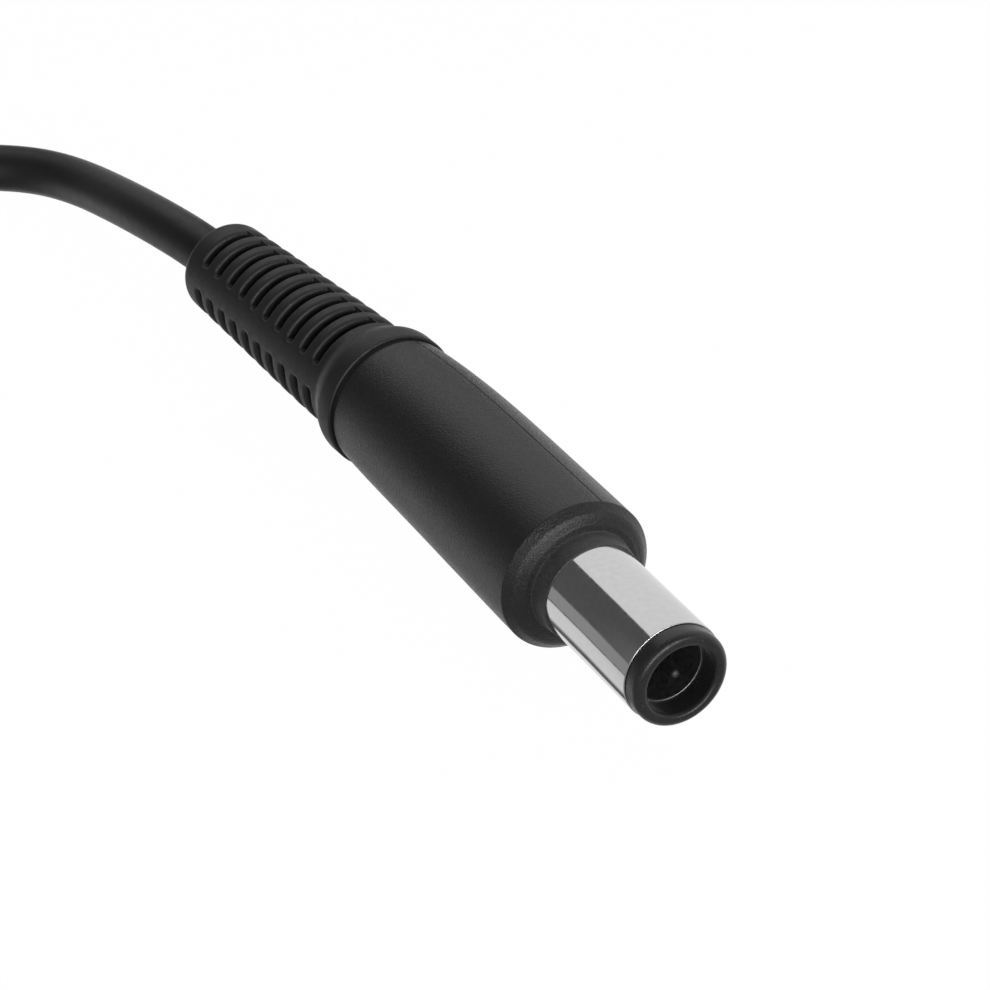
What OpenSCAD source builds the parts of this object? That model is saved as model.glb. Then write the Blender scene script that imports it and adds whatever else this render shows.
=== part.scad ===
// Laptop power adapter: a round DC plug on a slotted strain relief, its cord wound in a tied coil, and the brick
// with its mains inlet. Millimetres, +Z up. The origin is the centre of the brick's footprint on the table.

/* [Plug] */
// Outside diameter of the plated barrel
barrel_d = 7.4; // [7:0.1:8]
// Wall of the barrel
barrel_wall = 0.5; // [0.4:0.05:0.6]
// Bare length of the barrel, from the boss to the tip ring
barrel_l = 10.35; // [8:0.05:12]
// Length of the insulating tip ring
tip_l = 1.4; // [1:0.1:2.5]
// Bore of the inner contact
contact_bore = 5.0; // [4.8:0.1:5.2]
// Wall of the inner contact
contact_wall = 0.25; // [0.15:0.05:0.3]
// How far the inner contact sits behind the tip
contact_recess = 1.86; // [1.4:0.02:2.6]
// Diameter of the centre pin
pin_d = 0.7; // [0.5:0.1:1]
// How far the centre pin sits behind the tip
pin_recess = 0.8; // [0.3:0.1:3]
// Outside diameter of the boss round the barrel
boss_d = 7.9; // [7.8:0.1:9]
// Height of the boss above the grip's front face
boss_h = 1.57; // [1:0.01:3]

/* [Grip] */
// Largest diameter of the grip, near its front
grip_d = 11.5; // [11:0.1:14]
// Diameter of the grip at its rear edge
grip_rear_d = 10.26; // [10.2:0.02:12]
// Length of the grip
grip_l = 26.5; // [24:0.5:34]
// Radius of the grip's rounded front edge
grip_round = 1.6; // [0.8:0.1:1.8]
// Wall of the grip round the inner mould, at its thinnest
grip_wall = 0.4; // [0.3:0.05:0.6]

/* [Strain relief] */
// Diameter of the smooth collar behind the grip
collar_d = 10.7; // [10.2:0.1:12]
// Length of the collar, with its rounded rear shoulder
collar_l = 2.9; // [2.5:0.1:5]
// Width of the groove between the grip and the collar
groove_w = 0.5; // [0.3:0.1:1]
// Diameter of the slotted part at the collar
relief_front_d = 9.18; // [8.6:0.02:10]
// Diameter of the slotted part at its rear end
relief_rear_d = 7.34; // [6.8:0.02:8.4]
// Length of the slotted part
relief_l = 21.4; // [21:0.1:30]
// Slots along each row
slot_count = 10; // [6:1:10]
// Distance from slot to slot
slot_pitch = 1.885; // [1.7:0.005:2]
// Width of a slot
slot_w = 0.75; // [0.4:0.05:1]
// Width of the solid spine between the two rows of slots on either side
slot_spine = 2.1; // [1.4:0.1:3]
// Angle by which the relief bends sideways from the grip
relief_bend = 4.75; // [0:0.25:5]

/* [Cord] */
// Diameter of the cord
cord_d = 3.8; // [3.6:0.1:3.9]
// Turns in each layer of the coil
coil_turns = 3.125; // [2.125:1:3.125]
// Layers of the coil
coil_layers = 4; // [4:1:4]
// Radius of the outermost turn
coil_r = 28.5; // [28:0.1:30]
// Distance from turn to turn, sideways and up
coil_pitch = 4.25; // [4.2:0.01:4.4]
// Width of the tie's strap
tie_w = 12; // [8:1:20]
// Thickness of the strap
tie_t = 0.7; // [0.5:0.05:0.8]

/* [Brick] */
// Length of the case
case_l = 108; // [106:1:130]
// Width of the case
case_w = 46.5; // [45:0.5:60]
// Height of the case without its feet
case_h = 28.8; // [28:0.1:35]
// Wall of the case
wall = 2.2; // [1.8:0.1:2.4]
// Radius of the case's upright corners
corner_r = 4; // [3:0.5:6]
// Rounding of the case's top and bottom edges
edge_r = 1.6; // [1:0.1:2]
// Width of the seam between the two halves
seam_w = 0.5; // [0.3:0.1:0.8]
// Depth of the seam
seam_depth = 0.6; // [0.3:0.1:0.8]
// Diameter of a rubber foot
foot_d = 9; // [6:0.5:12]
// Height of a foot below the case
foot_h = 1.2; // [0.8:0.1:2]
// Length of the cord's gland outside the case
gland_l = 23; // [18:1:24]
// Diameter of the gland at the case
gland_d = 11; // [9:0.5:13]

/* [Mains inlet] */
// Width of the inlet's recess
recess_w = 24.5; // [24.2:0.1:25]
// Height of the inlet's recess
recess_h = 17; // [16.6:0.1:17.4]
// Depth of the inlet's recess
recess_depth = 16.5; // [16:0.1:18]
// Distance between the line and neutral pins
pin_span = 14; // [13.8:0.1:14.2]
// How far the earth pin stands above the other two
pin_rise = 4; // [3.8:0.1:4.2]

/* [Hidden] */
$fn = 64;
fit = 0.03;             // between pieces that are pressed or moulded together
clear = 0.3;            // round soft and loose pieces
tiny = 0.01;            // overrun of a cut

// Plug, measured along its axis from the boss's front face: + to the tip, - to the cord.
barrel_r = barrel_d / 2;
barrel_bore = barrel_r - barrel_wall;
shank_r = barrel_r - 0.2;               // the barrel is turned down inside the mould
shank_z = -0.1;                         // where that begins, just behind the boss's face
face_z = -boss_h;                       // front face of the grip
front_wall = 1.5;
mould_front = face_z - front_wall;
barrel_tail = mould_front - 2.1;        // rear end of the barrel
flange_r = shank_r + 0.8;               // anchor flange of the barrel in the inner mould
flange_z = [mould_front - 1.5, mould_front - 0.7];
tip_z = barrel_l + tip_l;
tip_edge = 0.55;                        // rounding of the tip's outer edge
contact_r = contact_bore / 2 + contact_wall;
contact_z = tip_z - contact_recess;
contact_tail = barrel_tail - 1.6;
spigot_z = barrel_l - 3;                // how deep the tip ring reaches into the barrel
core_tail = barrel_tail + 0.5;
bush_z = [contact_tail + 0.2, contact_tail + 4.5];
pin_r = pin_d / 2;
pin_tail = contact_tail - 2;
pin_root_r = pin_r + 0.25;              // the pin is thicker where the bush holds it
tag_l = 3;                              // solder tags on the barrel and on the inner contact
tag_w = 2;
grip_r = grip_d / 2;
grip_rear_z = face_z - grip_l;
mould_r = min(grip_d, grip_rear_d) / 2 - grip_wall;
mould_rear = grip_rear_z + 7;
mould_pocket = flange_r - 0.3;          // radius of the space for the solder joints
mould_back = 3;                         // wall behind that space
ferrule_r = cord_d / 2 + 0.5;
ferrule_z = [mould_rear - 2, mould_rear + mould_back + 1];
wire_r = 0.6;

// Strain relief, on its own axis, which crosses the plug's at bend_z.
bend_z = grip_rear_z + 4.37;
collar_z = grip_rear_z - groove_w;
collar_r = collar_d / 2;
collar_flat = 1.13;                     // straight length of the collar
collar_edge = 0.35;
neck_r = grip_rear_d / 2 - 0.35;
relief_spigot_r = mould_r - 0.5;
relief_spigot_l = 3.6;
relief_z = collar_z - collar_l;         // where the slotted part begins
relief_end = relief_z - relief_l;
nose_l = 1.1;                           // rounded rear end
nose_r = relief_rear_d / 2 - 1.1;
slot_front_z = relief_z - 1.58;         // centre of the slot next to the collar
slot_floor = cord_d / 2 + 0.45;
slot_turn = 72;                         // the way in which the mould's halves drew apart
slot_land = 0.12;                       // what is left either side of the mould's parting line
slot_ramp = 80;                         // from this angle the slot's floor rises to the parting line
slot_blade = [
    [collar_r, slot_spine / 2], [collar_r, collar_r], [slot_land, collar_r], [slot_land, relief_rear_d / 2],
    [slot_floor * cos(slot_ramp), slot_floor * sin(slot_ramp)], [slot_floor * cos(slot_ramp), slot_spine / 2]];

// Where the plug lies.
plug_at = [31, -130, grip_r];
plug_turn = -61;

// Brick.
case_z = foot_h;
case_top = case_z + case_h;
split_z = case_z + case_h / 2;
end_x = case_l / 2;
side_y = case_w / 2;
floor_z = case_z + wall;
ceiling_z = case_top - wall;
foot_top = case_z + 0.6;                // the feet sit in shallow pockets
foot_x = end_x - 10;
foot_y = side_y - 8.25;
inlet_w = recess_w + 3.5;
inlet_h = recess_h + 3.4;
inlet_back = 3.5;
inlet_chamfer = 4;
blade = [21.5, 2, 4];                   // a pin: length, width, height
blade_setback = 2.5;                    // from the case's end to the pin's tip
gland_end = -end_x - gland_l;
gland_z = split_z;
cord_end_x = wall + 1.8 - end_x;        // where the cord's jacket ends inside the case
gland_tip_r = cord_d / 2 + 1.3;
gland_flange_r = gland_d / 2 + 1.5;
gland_flange_t = 1.5;
gland_grooves = 7;

// Board and what stands on it.
board_x0 = wall - end_x + 2.8;          // the board's left end
board_x1 = end_x - recess_depth - inlet_back - 3;
board_x = (board_x0 + board_x1) / 2;
board_w = case_w - 2 * wall - 3;
board_t = 1.6;
board_z = floor_z + 2;
deck_z = board_z + board_t;
post_r = 2.2;
boss_r = 3;
post_x = [board_x0 + 3, board_x1 - 5];
post_y = board_w / 2 - 3;
sheet_t = 0.4;
sink_t = 1.6;
sink_y = board_w / 2 - 1.15;
sink_front = sink_y - sink_t / 2;       // the face that the power devices lie on
sink_h = ceiling_z - 0.8 - deck_z;
spreader_t = 0.6;
led_at = [-32.5, -15];
led_r = 1.5;
led_h = 5;

// Coil.
coil_at = [gland_end - 15, -coil_r];
coil_low = tie_t + clear + cord_d / 2;
coil_top = coil_low + (coil_layers - 1) * coil_pitch;
coil_rings = 24;                        // rings in a turn
coil_sides = 6;
layer_a = 360 * coil_turns;
coil_sweep = layer_a * coil_layers;
coil_inner = coil_r - coil_turns * coil_pitch;
tie_angle = 205;

// Route of the cord from the coil's end to the plug.
cord_route = [
    [-80, -57, 2.7], [-72, -57.3, 2.2], [-64, -58.2, 1.9], [-56, -59.4, 1.9], [-48, -60.8, 1.9], [-40, -62, 1.9],
    [-32, -62.7, 1.9], [-25, -62.9, 1.9], [-20, -62.7, 1.9], [-16.6, -62.4, 1.9], [-13.8, -62.7, 1.9],
    [-12, -63.8, 2.1], [-10.3, -65.3, 2.4], [-8.4, -67.7, 3], [-6.5, -70.8, 3.8], [-4.6, -73.9, 4.6],
    [-2.8, -76.8, 5.3], [-1.1, -79.3, 5.6], [0.8, -81.4, 5.75]];
cord_sides = 8;

rubber_black = "#2c2c2e";
smooth_black = "#343436";
nickel = "#c9cacc";
copper = "#b46a3a";
aluminium = "#b8babd";

// ---------- helpers ----------

// Points of an arc in the radius-height plane.
function arc(c, r, a0, a1, n = 6) =
    [for (i = [0 : n]) let (a = a0 + (a1 - a0) * i / n) c + r * [cos(a), sin(a)]];

function unit(v) = v / norm(v);

function tangent(path, i) = unit(path[min(i + 1, len(path) - 1)] - path[max(i - 1, 0)]);

function ring(p, t, r, sides) =
    let (side = unit(cross(t, [0, 0, 1])), up = cross(side, t))
    [for (j = [0 : sides - 1]) p + r * (cos(360 * j / sides) * side + sin(360 * j / sides) * up)];

// A closed tube of triangles along a path.
module tube(path, r, sides) {
    last = len(path) - 1;
    points = [for (i = [0 : last]) each ring(path[i], tangent(path, i), r, sides)];
    skin = [for (i = [0 : last - 1], j = [0 : sides - 1])
        let (a = i * sides + j, b = i * sides + (j + 1) % sides, c = a + sides, d = b + sides)
        each [[a, c, b], [b, c, d]]];
    far = last * sides;
    ends = [for (j = [1 : sides - 2]) each [[0, j, j + 1], [far, far + j + 1, far + j]]];
    polyhedron(points, concat(skin, ends));
}

// A straight pipe between two heights.
module pipe(r_out, r_in, z0, z1) {
    difference() {
        translate([0, 0, z0]) cylinder(r = r_out, h = z1 - z0);
        translate([0, 0, z0 - tiny]) cylinder(r = r_in, h = z1 - z0 + 2 * tiny);
    }
}

module rod(r, z0, z1) translate([0, 0, z0]) cylinder(r = r, h = z1 - z0);

// A block given by its two corners.
module block(low, high) translate(low) cube(high - low);

module along_x() rotate([0, 90, 0]) children();

// Puts a piece that is drawn along +Z onto the plug's axis.
module on_plug() translate(plug_at) rotate([0, 0, plug_turn]) along_x() children();

// The strain relief's axis, turned sideways about bend_z.
module on_relief() {
    translate([0, 0, bend_z]) rotate([-relief_bend, 0, 0]) translate([0, 0, -bend_z]) children();
}

// The case's outer form, or its inside when drawn in by a wall.
module case_form(inset) {
    r = max(corner_r - inset, 0.8);
    e = max(edge_r - inset, 0.4);
    hull() for (x = [-1, 1], y = [-1, 1]) translate([x * (end_x - inset - r), y * (side_y - inset - r), 0]) {
        for (cut = [[e, 0], [e * 0.3, e * 0.3], [0, e]])
            translate([0, 0, case_z + inset + cut[0]])
                cylinder(r = r - cut[1], h = case_h - 2 * (inset + cut[0]), $fn = 32);
    }
}

// ---------- plug ----------

// A solder tag: a strip of a tube's wall that runs on past the tube's rear end.
module tag(r_out, r_in, tail, side) {
    intersection() {
        pipe(r_out, r_in, tail - tag_l, tail + tiny);
        translate([-tag_w / 2, side > 0 ? 0 : -grip_d, tail - tag_l]) cube([tag_w, grip_d, tag_l + 1]);
    }
}

module plug_barrel() {
    color(nickel) on_plug() difference() {
        union() {
            rod(barrel_r, shank_z, barrel_l);
            rod(shank_r, barrel_tail, shank_z);
            rod(flange_r, flange_z[0], flange_z[1]);
            tag(shank_r, barrel_bore, barrel_tail, -1);
        }
        rod(barrel_bore, barrel_tail - tiny, barrel_l + tiny);
    }
}

module plug_tip_ring() {
    lip = contact_bore / 2 + 0.12;
    color(rubber_black) on_plug() rotate_extrude() polygon(concat(
        [[lip, contact_z + fit], [lip, tip_z - 0.15], [lip + 0.15, tip_z]],
        arc([barrel_r - tip_edge, tip_z - tip_edge], tip_edge, 90, 0),
        [[barrel_r, barrel_l], [barrel_bore - fit, barrel_l], [barrel_bore - fit, spigot_z],
         [contact_r + fit, spigot_z], [contact_r + fit, contact_z + fit]]));
}

module plug_inner_contact() {
    color(nickel) on_plug() {
        pipe(contact_r, contact_bore / 2, contact_tail, contact_z);
        tag(contact_r, contact_bore / 2, contact_tail, 1);
    }
}

module plug_core_sleeve() {
    color("#e8e4da") on_plug() pipe(barrel_bore - fit, contact_r + fit, core_tail, spigot_z - fit);
}

module plug_pin_bush() {
    color("#222224") on_plug() pipe(contact_bore / 2 - fit, pin_root_r + fit, bush_z[0], bush_z[1]);
}

module plug_centre_pin() {
    top = tip_z - pin_recess;
    color(nickel) on_plug() rotate_extrude() polygon(concat(
        [[0, pin_tail], [pin_root_r, pin_tail], [pin_root_r, bush_z[1]], [pin_r, bush_z[1]]],
        arc([0, top - pin_r], pin_r, 0, 90)));
}

module plug_inner_mould() {
    back = mould_rear + mould_back;
    color(smooth_black) on_plug() rotate_extrude() polygon(concat(
        [[barrel_r + fit, 0]], arc([boss_d / 2 - 0.12, -0.12], 0.12, 90, 0, 2),
        [[boss_d / 2, mould_front], [mould_r - fit, mould_front], [mould_r - fit, mould_rear],
         [ferrule_r + fit, mould_rear], [ferrule_r + fit, back], [mould_pocket, back],
         [mould_pocket, barrel_tail - fit], [shank_r + fit, barrel_tail - fit],
         [shank_r + fit, flange_z[0] - fit], [flange_r + fit, flange_z[0] - fit],
         [flange_r + fit, flange_z[1] + fit], [shank_r + fit, flange_z[1] + fit],
         [shank_r + fit, shank_z - fit], [barrel_r + fit, shank_z - fit]]));
}

module plug_wires() {
    start = ferrule_z[1];
    power_y = contact_bore / 2 - wire_r - 2 * fit;
    ground_y = wire_r + 2 * fit - barrel_bore;
    color("#c8c2b4") on_plug() {
        rod(pin_root_r, start, pin_tail - fit);
        for (y = [power_y, ground_y]) translate([0, y, 0]) rod(wire_r, start, contact_tail - clear);
    }
}

module plug_cable_ferrule() {
    color("#a9a49a") on_plug() pipe(ferrule_r, cord_d / 2 + fit, ferrule_z[0], ferrule_z[1]);
}

module plug_grip() {
    swell = grip_r - grip_rear_d / 2;
    body = face_z - grip_round - 1.2;                     // from here back the grip draws in
    taper = [for (u = [0.125 : 0.125 : 1])
        [grip_r - swell * (0.38 * u + 0.62 * pow(u, 5)), body + (grip_rear_z - body) * u]];
    color(rubber_black) on_plug() difference() {
        rotate_extrude() polygon(concat(
            [[boss_d / 2 + fit, face_z]],
            arc([grip_r - grip_round, face_z - grip_round], grip_round, 90, 0, 8),
            [[grip_r, body]], taper, [[grip_rear_d / 2, grip_rear_z - 1], [mould_r, grip_rear_z - 1],
             [mould_r, mould_front], [boss_d / 2 + fit, mould_front]]));
        on_relief() rod(grip_d, grip_rear_z - 4, grip_rear_z);
    }
}

// The blade that cuts one slot: upright at the spine, round over the cord, rising to the parting line.
module slot_cut(side) difference() {
    linear_extrude(slot_w) polygon([for (p = slot_blade) [p[0], side * p[1]]]);
    rod(slot_floor, -tiny, slot_w + tiny);
}

module plug_strain_relief() {
    shoulder = collar_z - collar_flat;
    fall = shoulder - relief_z;
    blend = [for (u = [0.2 : 0.2 : 1])
        [relief_front_d / 2 + (collar_r - relief_front_d / 2) * pow(cos(90 * u), 1.4), shoulder - fall * u]];
    nose_z = relief_end + nose_l;
    nose = [for (a = [0 : 15 : 90])
        [nose_r + (relief_rear_d / 2 - nose_r) * cos(a), nose_z - nose_l * sin(a)]];
    color(smooth_black) on_plug() on_relief() difference() {
        rotate_extrude() polygon(concat(
            [[cord_d / 2 + fit, collar_z + relief_spigot_l], [relief_spigot_r, collar_z + relief_spigot_l],
             [relief_spigot_r, collar_z + groove_w], [neck_r, collar_z + groove_w], [neck_r, collar_z]],
            arc([collar_r - collar_edge, collar_z - collar_edge], collar_edge, 90, 0, 4),
            [[collar_r, shoulder]], blend, nose, [[cord_d / 2 + fit, relief_end]]));
        for (i = [0 : slot_count - 1], half = [0, 180], side = [-1, 1])
            translate([0, 0, slot_front_z - i * slot_pitch - slot_w / 2])
                rotate([0, 0, slot_turn + half]) slot_cut(side);
    }
}

// ---------- cord ----------

// The coil is wound from the brick's side, in its top layer, to the plug's side, in its bottom layer. It
// spirals in and out again, and steps down a layer in the half turn where it reverses.
function coil_swing(a) = let (k = floor(a / layer_a), u = a / layer_a - k) k % 2 == 0 ? u : 1 - u;

function coil_step(a) =
    let (k = round(a / layer_a), down = (a - k * layer_a) / 180 + 0.5)
    k == 0 ? 0 : k >= coil_layers ? coil_layers - 1 : k - 1 + min(1, max(0, down));

function coil_point(a) =
    let (swing = coil_swing(min(a, coil_sweep - tiny)), r = coil_r - (coil_r - coil_inner) * swing)
    [coil_at[0] + r * cos(90 + a), coil_at[1] + r * sin(90 + a), coil_top - coil_pitch * coil_step(a)];

coil_steps = coil_sweep / 360 * coil_rings;
coil_line = [for (i = [0 : coil_steps]) coil_point(360 * i / coil_rings)];
coil_start = [coil_at[0] + cord_d, coil_at[1] + coil_r, coil_top];
coil_stop = [coil_at[0] + cord_d, coil_at[1] - coil_r, coil_low];
coil_path = concat([coil_start], coil_line, [coil_stop]);
coil_near = coil_rings / 2;             // rings nearer than this along the cord are the same turn
coil_spans = [
    for (i = [0 : coil_steps - coil_near], j = [i + coil_near : coil_steps]) norm(coil_line[i] - coil_line[j])];
echo(least_gap_between_turns = min(coil_spans) - cord_d);

function to_world(p) = plug_at + [
    cos(plug_turn) * p[2] - sin(plug_turn) * p[1], sin(plug_turn) * p[2] + cos(plug_turn) * p[1], -p[0]];
function on_relief_axis(z) =
    let (reach = z - bend_z)
    to_world([0, reach * sin(relief_bend), bend_z + reach * cos(relief_bend)]);

// Points of the route that a longer relief would reach are left out.
module cord_run() {
    inside = ferrule_z[0] + 3;
    rear = on_relief_axis(relief_end - 1);
    away = on_relief_axis(relief_end - 2) - rear;
    free = [for (p = cord_route) if ((p - rear) * away > 1.5) p];
    straight = [relief_end - 1, relief_end, relief_end + 8, relief_end + 16, collar_z, bend_z];
    in_relief = [for (z = straight) on_relief_axis(z)];
    out_of_coil = [coil_stop, coil_stop + [cord_d, 0, 0]];
    path = concat(out_of_coil, free, in_relief, [to_world([0, 0, inside])]);
    color(smooth_black) tube(path, cord_d / 2, cord_sides);
}

module cord_coil() {
    color(smooth_black) tube(coil_path, cord_d / 2, coil_sides);
}

module cord_at_brick() {
    in_gland = [for (x = [cord_end_x, -end_x - 8, gland_end, gland_end - cord_d / 2]) [x, 0, gland_z]];
    path = concat(in_gland, [coil_start + [cord_d, 0, 0], coil_start]);
    color(smooth_black) tube(path, cord_d / 2, cord_sides);
}

// The strap's outline across the coil, in the radius-height plane. Its flat inner run clears the curved inside.
module tie_frame(grow, r) {
    inside = coil_inner - cord_d / 2;
    low = [sqrt(pow(inside, 2) - pow(tie_w / 2, 2)) - clear - grow, tie_t - grow];
    high = [coil_r + cord_d / 2 + clear + grow, coil_top + cord_d / 2 + clear + grow];
    for (x = [low[0] + r, high[0] - r], y = [low[1] + r, high[1] - r]) translate([x, y]) circle(r);
    translate(low + [r, 0]) square([high[0] - low[0] - 2 * r, high[1] - low[1]]);
    translate(low + [0, r]) square([high[0] - low[0], high[1] - low[1] - 2 * r]);
}

module cord_tie() {
    color("#1c1c1e") translate([coil_at[0], coil_at[1], 0]) rotate([0, 0, tie_angle]) rotate([90, 0, 0])
        translate([0, 0, -tie_w / 2]) linear_extrude(tie_w) difference() {
            tie_frame(tie_t, 1.6);
            tie_frame(0, 0.9);
        }
}

module cord_gland() {
    neck = gland_d / 2;
    inner = -end_x + wall + fit;
    bore = cord_d / 2 + fit;
    rim = neck + 0.8;
    step = (gland_l - 6) / gland_grooves;
    groove = step * 0.45;
    color(rubber_black) translate([0, 0, gland_z]) along_x() difference() {
        rotate_extrude() polygon([
            [bore, inner + gland_flange_t], [gland_flange_r, inner + gland_flange_t], [gland_flange_r, inner],
            [neck - clear / 2, inner], [neck - clear / 2, -end_x], [rim, -end_x], [rim, -end_x - 1.2],
            [neck, -end_x - 2], [gland_tip_r, gland_end + 0.8], [gland_tip_r - 0.8, gland_end],
            [bore, gland_end]]);
        for (i = [0 : gland_grooves - 1], k = [0, 180])
            translate([0, 0, gland_end + 2 + i * step]) rotate([0, 0, k + 90 * (i % 2) - 60])
                rotate_extrude(angle = 120) translate([cord_d / 2 + 0.7, 0]) square([neck, groove]);
    }
}

// ---------- case ----------

module end_openings() {
    block([end_x - wall - 1, -inlet_w / 2 - fit, split_z - inlet_h / 2 - fit],
          [end_x + 1, inlet_w / 2 + fit, split_z + inlet_h / 2 + fit]);
    translate([0, 0, gland_z]) along_x() rod(gland_d / 2, -end_x - 1, -end_x + wall + 1);
}

module seam(z0) {
    inside = [end_x - seam_depth, side_y - seam_depth];
    difference() {
        block([-case_l, -case_w, z0], [case_l, case_w, z0 + seam_w / 2]);
        block([-inside[0], -inside[1], 0], [inside[0], inside[1], case_top]);
    }
}

module case_base() {
    color(rubber_black) {
        difference() {
            case_form(0);
            difference() {
                case_form(wall);
                for (x = post_x, y = [-post_y, post_y]) translate([x, y, 0]) rod(boss_r, 0, board_z);
            }
            block([-case_l, -case_w, split_z], [case_l, case_w, case_top + 1]);
            seam(split_z - seam_w / 2);
            end_openings();
            for (x = [-foot_x, foot_x], y = [-foot_y, foot_y])
                translate([x, y, 0]) rod(foot_d / 2 + fit, 0, foot_top);
        }
    }
}

module case_lid() {
    color(rubber_black) {
        difference() {
            case_form(0);
            difference() {
                case_form(wall);
                for (x = post_x, y = [-post_y, post_y]) translate([x, y, 0]) rod(post_r, deck_z, case_top);
            }
            difference() {
                block([-case_l, -case_w, 0], [case_l, case_w, split_z]);
                for (x = post_x, y = [-post_y, post_y]) translate([x, y, 0]) rod(post_r, deck_z, case_top);
            }
            seam(split_z);
            end_openings();
            on_board() translate(led_at) rod(led_r + 2 * fit, ceiling_z - deck_z - 1, case_h);
        }
    }
}

module rubber_feet() {
    color("#18181a") for (x = [-foot_x, foot_x], y = [-foot_y, foot_y]) translate([x, y, 0]) rotate_extrude()
        polygon([[0, 0], [foot_d / 2 - 0.4, 0], [foot_d / 2, 0.4], [foot_d / 2, foot_top], [0, foot_top]]);
}

module blades(grow) {
    for (p = [[-pin_span / 2, -pin_rise / 2], [pin_span / 2, -pin_rise / 2], [0, pin_rise / 2]])
        translate([end_x - blade_setback - blade[0], p[0] - blade[1] / 2, split_z + p[1] - blade[2] / 2])
            translate(-[grow, grow, grow]) cube(blade + 2 * [grow, grow, grow]);
}

module mains_inlet() {
    back = end_x - recess_depth;
    w = recess_w / 2;
    h = recess_h / 2;
    c = inlet_chamfer;
    color("#1f1f21") difference() {
        block([back - inlet_back, -inlet_w / 2, split_z - inlet_h / 2],
              [end_x, inlet_w / 2, split_z + inlet_h / 2]);
        translate([back, 0, split_z]) rotate([90, 0, 90]) linear_extrude(recess_depth + 1)
            polygon([[-w, -h], [w, -h], [w, h - c], [w - c, h], [c - w, h], [-w, h - c]]);
        blades(fit);
    }
}

module inlet_pins() {
    color(nickel) blades(0);
}

module light_pipe() {
    color("#e6f0e8") on_board() translate(led_at) rod(led_r, led_h + fit, case_top - deck_z);
}

// ---------- inside the case ----------

// Places on the board are measured from the middle of its upper face.
module on_board() translate([board_x, 0, deck_z]) children();

module status_led() {
    color("#cfe8d6") on_board() translate(led_at) rod(led_r, 0, led_h);
}

module circuit_board() {
    color("#2f6b45") block([board_x0, -board_w / 2, board_z], [board_x1, board_w / 2, deck_z]);
}

module insulation_sheet() {
    color("#d9d2b8") difference() {
        block([board_x0 - 1, -board_w / 2 - 0.5, floor_z], [board_x1 + 1, board_w / 2 + 0.5, floor_z + sheet_t]);
        for (x = post_x, y = [-post_y, post_y])
            translate([x, y, 0]) rod(boss_r + clear, floor_z - 1, board_z);
    }
}

module fuse() {
    color("#6b4a2f") on_board() translate([34.8, -6, 0]) rod(3.8, 0, 8);
}

module thermistor() {
    r = 4.5;
    color("#27402f") on_board() translate([34, 4, r]) along_x() rod(r, -2, 2);
}

module mains_capacitor() {
    color("#d8c24a") on_board() block([15, 6.5, 0], [31, 14.5, 14]);
}

choke_at = [22.5, -6.5, 1];
choke_in = 4.6;                         // inner and outer radius, and height, of the choke's core
choke_out = 8.2;
choke_h = 7;

module choke_core() {
    color("#3c4650") on_board() translate(choke_at) pipe(choke_out, choke_in, 0, choke_h);
}

module choke_winding() {
    wire = 1;
    gap = 0.1;
    color(copper) on_board() translate(choke_at) for (a = [25, 205]) rotate([0, 0, a])
        rotate_extrude(angle = 130) difference() {
            translate([choke_in - wire, -wire]) square([choke_out - choke_in + 2 * wire, choke_h + 2 * wire]);
            translate([choke_in - gap, -gap]) square([choke_out - choke_in + 2 * gap, choke_h + 2 * gap]);
        }
}

// A flat device that stands against a heat sink, on its legs.
module power_device(x, size, side, legs) {
    face = side * (sink_front - fit);
    front = face - side * size[1];
    leg_y = (face + front) / 2;
    on_board() {
        block([x - size[0] / 2, min(face, front), 3], [x + size[0] / 2, max(face, front), 3 + size[2]]);
        for (dx = legs) block([x + dx - 0.4, leg_y - 0.3, 0], [x + dx + 0.4, leg_y + 0.3, 3]);
    }
}

module bridge_rectifier() {
    color("#1d1d1f") power_device(4.5, [15, 3.4, 13], -1, [-5.5, -2, 2, 5.5]);
}

module switching_transistor() {
    color("#1d1d1f") power_device(-16, [10, 4.4, 15], -1, [-2.5, 0, 2.5]);
}

module output_rectifier() {
    color("#1d1d1f") power_device(-22, [10, 4.4, 15], 1, [-2.5, 0, 2.5]);
}

module bulk_capacitor() {
    r = 7.8;
    color("#23262c") on_board() translate([4, 0, r]) rotate([90, 0, 0]) rod(r, -14.5, 10.5);
}

transformer_at = [-16, 0, 0];
core = [16, 24, 18];
limb = 4.5;                             // thickness of the core round its windings
centre_limb = 6.4;
window_z = [limb - 1, core[2] - limb + 1];

module transformer_core() {
    window_y = core[1] / 2 - limb;
    color("#3a3a3d") on_board() translate(transformer_at) difference() {
        block([-core[0] / 2, -core[1] / 2, 0], [core[0] / 2, core[1] / 2, core[2]]);
        block([-core[0], -window_y, window_z[0]], [core[0], -centre_limb / 2, window_z[1]]);
        block([-core[0], centre_limb / 2, window_z[0]], [core[0], window_y, window_z[1]]);
    }
}

module transformer_winding() {
    outer = [core[0] / 2 + 2, core[1] / 2 - limb - fit];
    inner = [core[0] / 2 + fit, centre_limb / 2 + fit];
    color("#c9a63a") on_board() translate(transformer_at) difference() {
        block([-outer[0], -outer[1], window_z[0] + fit], [outer[0], outer[1], window_z[1] - fit]);
        block([-inner[0], -inner[1], 0], [inner[0], inner[1], core[2]]);
    }
}

module heatsink(x0, x1, side) {
    color(aluminium) on_board()
        block([x0, side * sink_y - sink_t / 2, 0], [x1, side * sink_y + sink_t / 2, sink_h]);
}

module primary_heatsink() heatsink(-29, 29, -1);

module secondary_heatsink() heatsink(-29, -3, 1);

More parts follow.
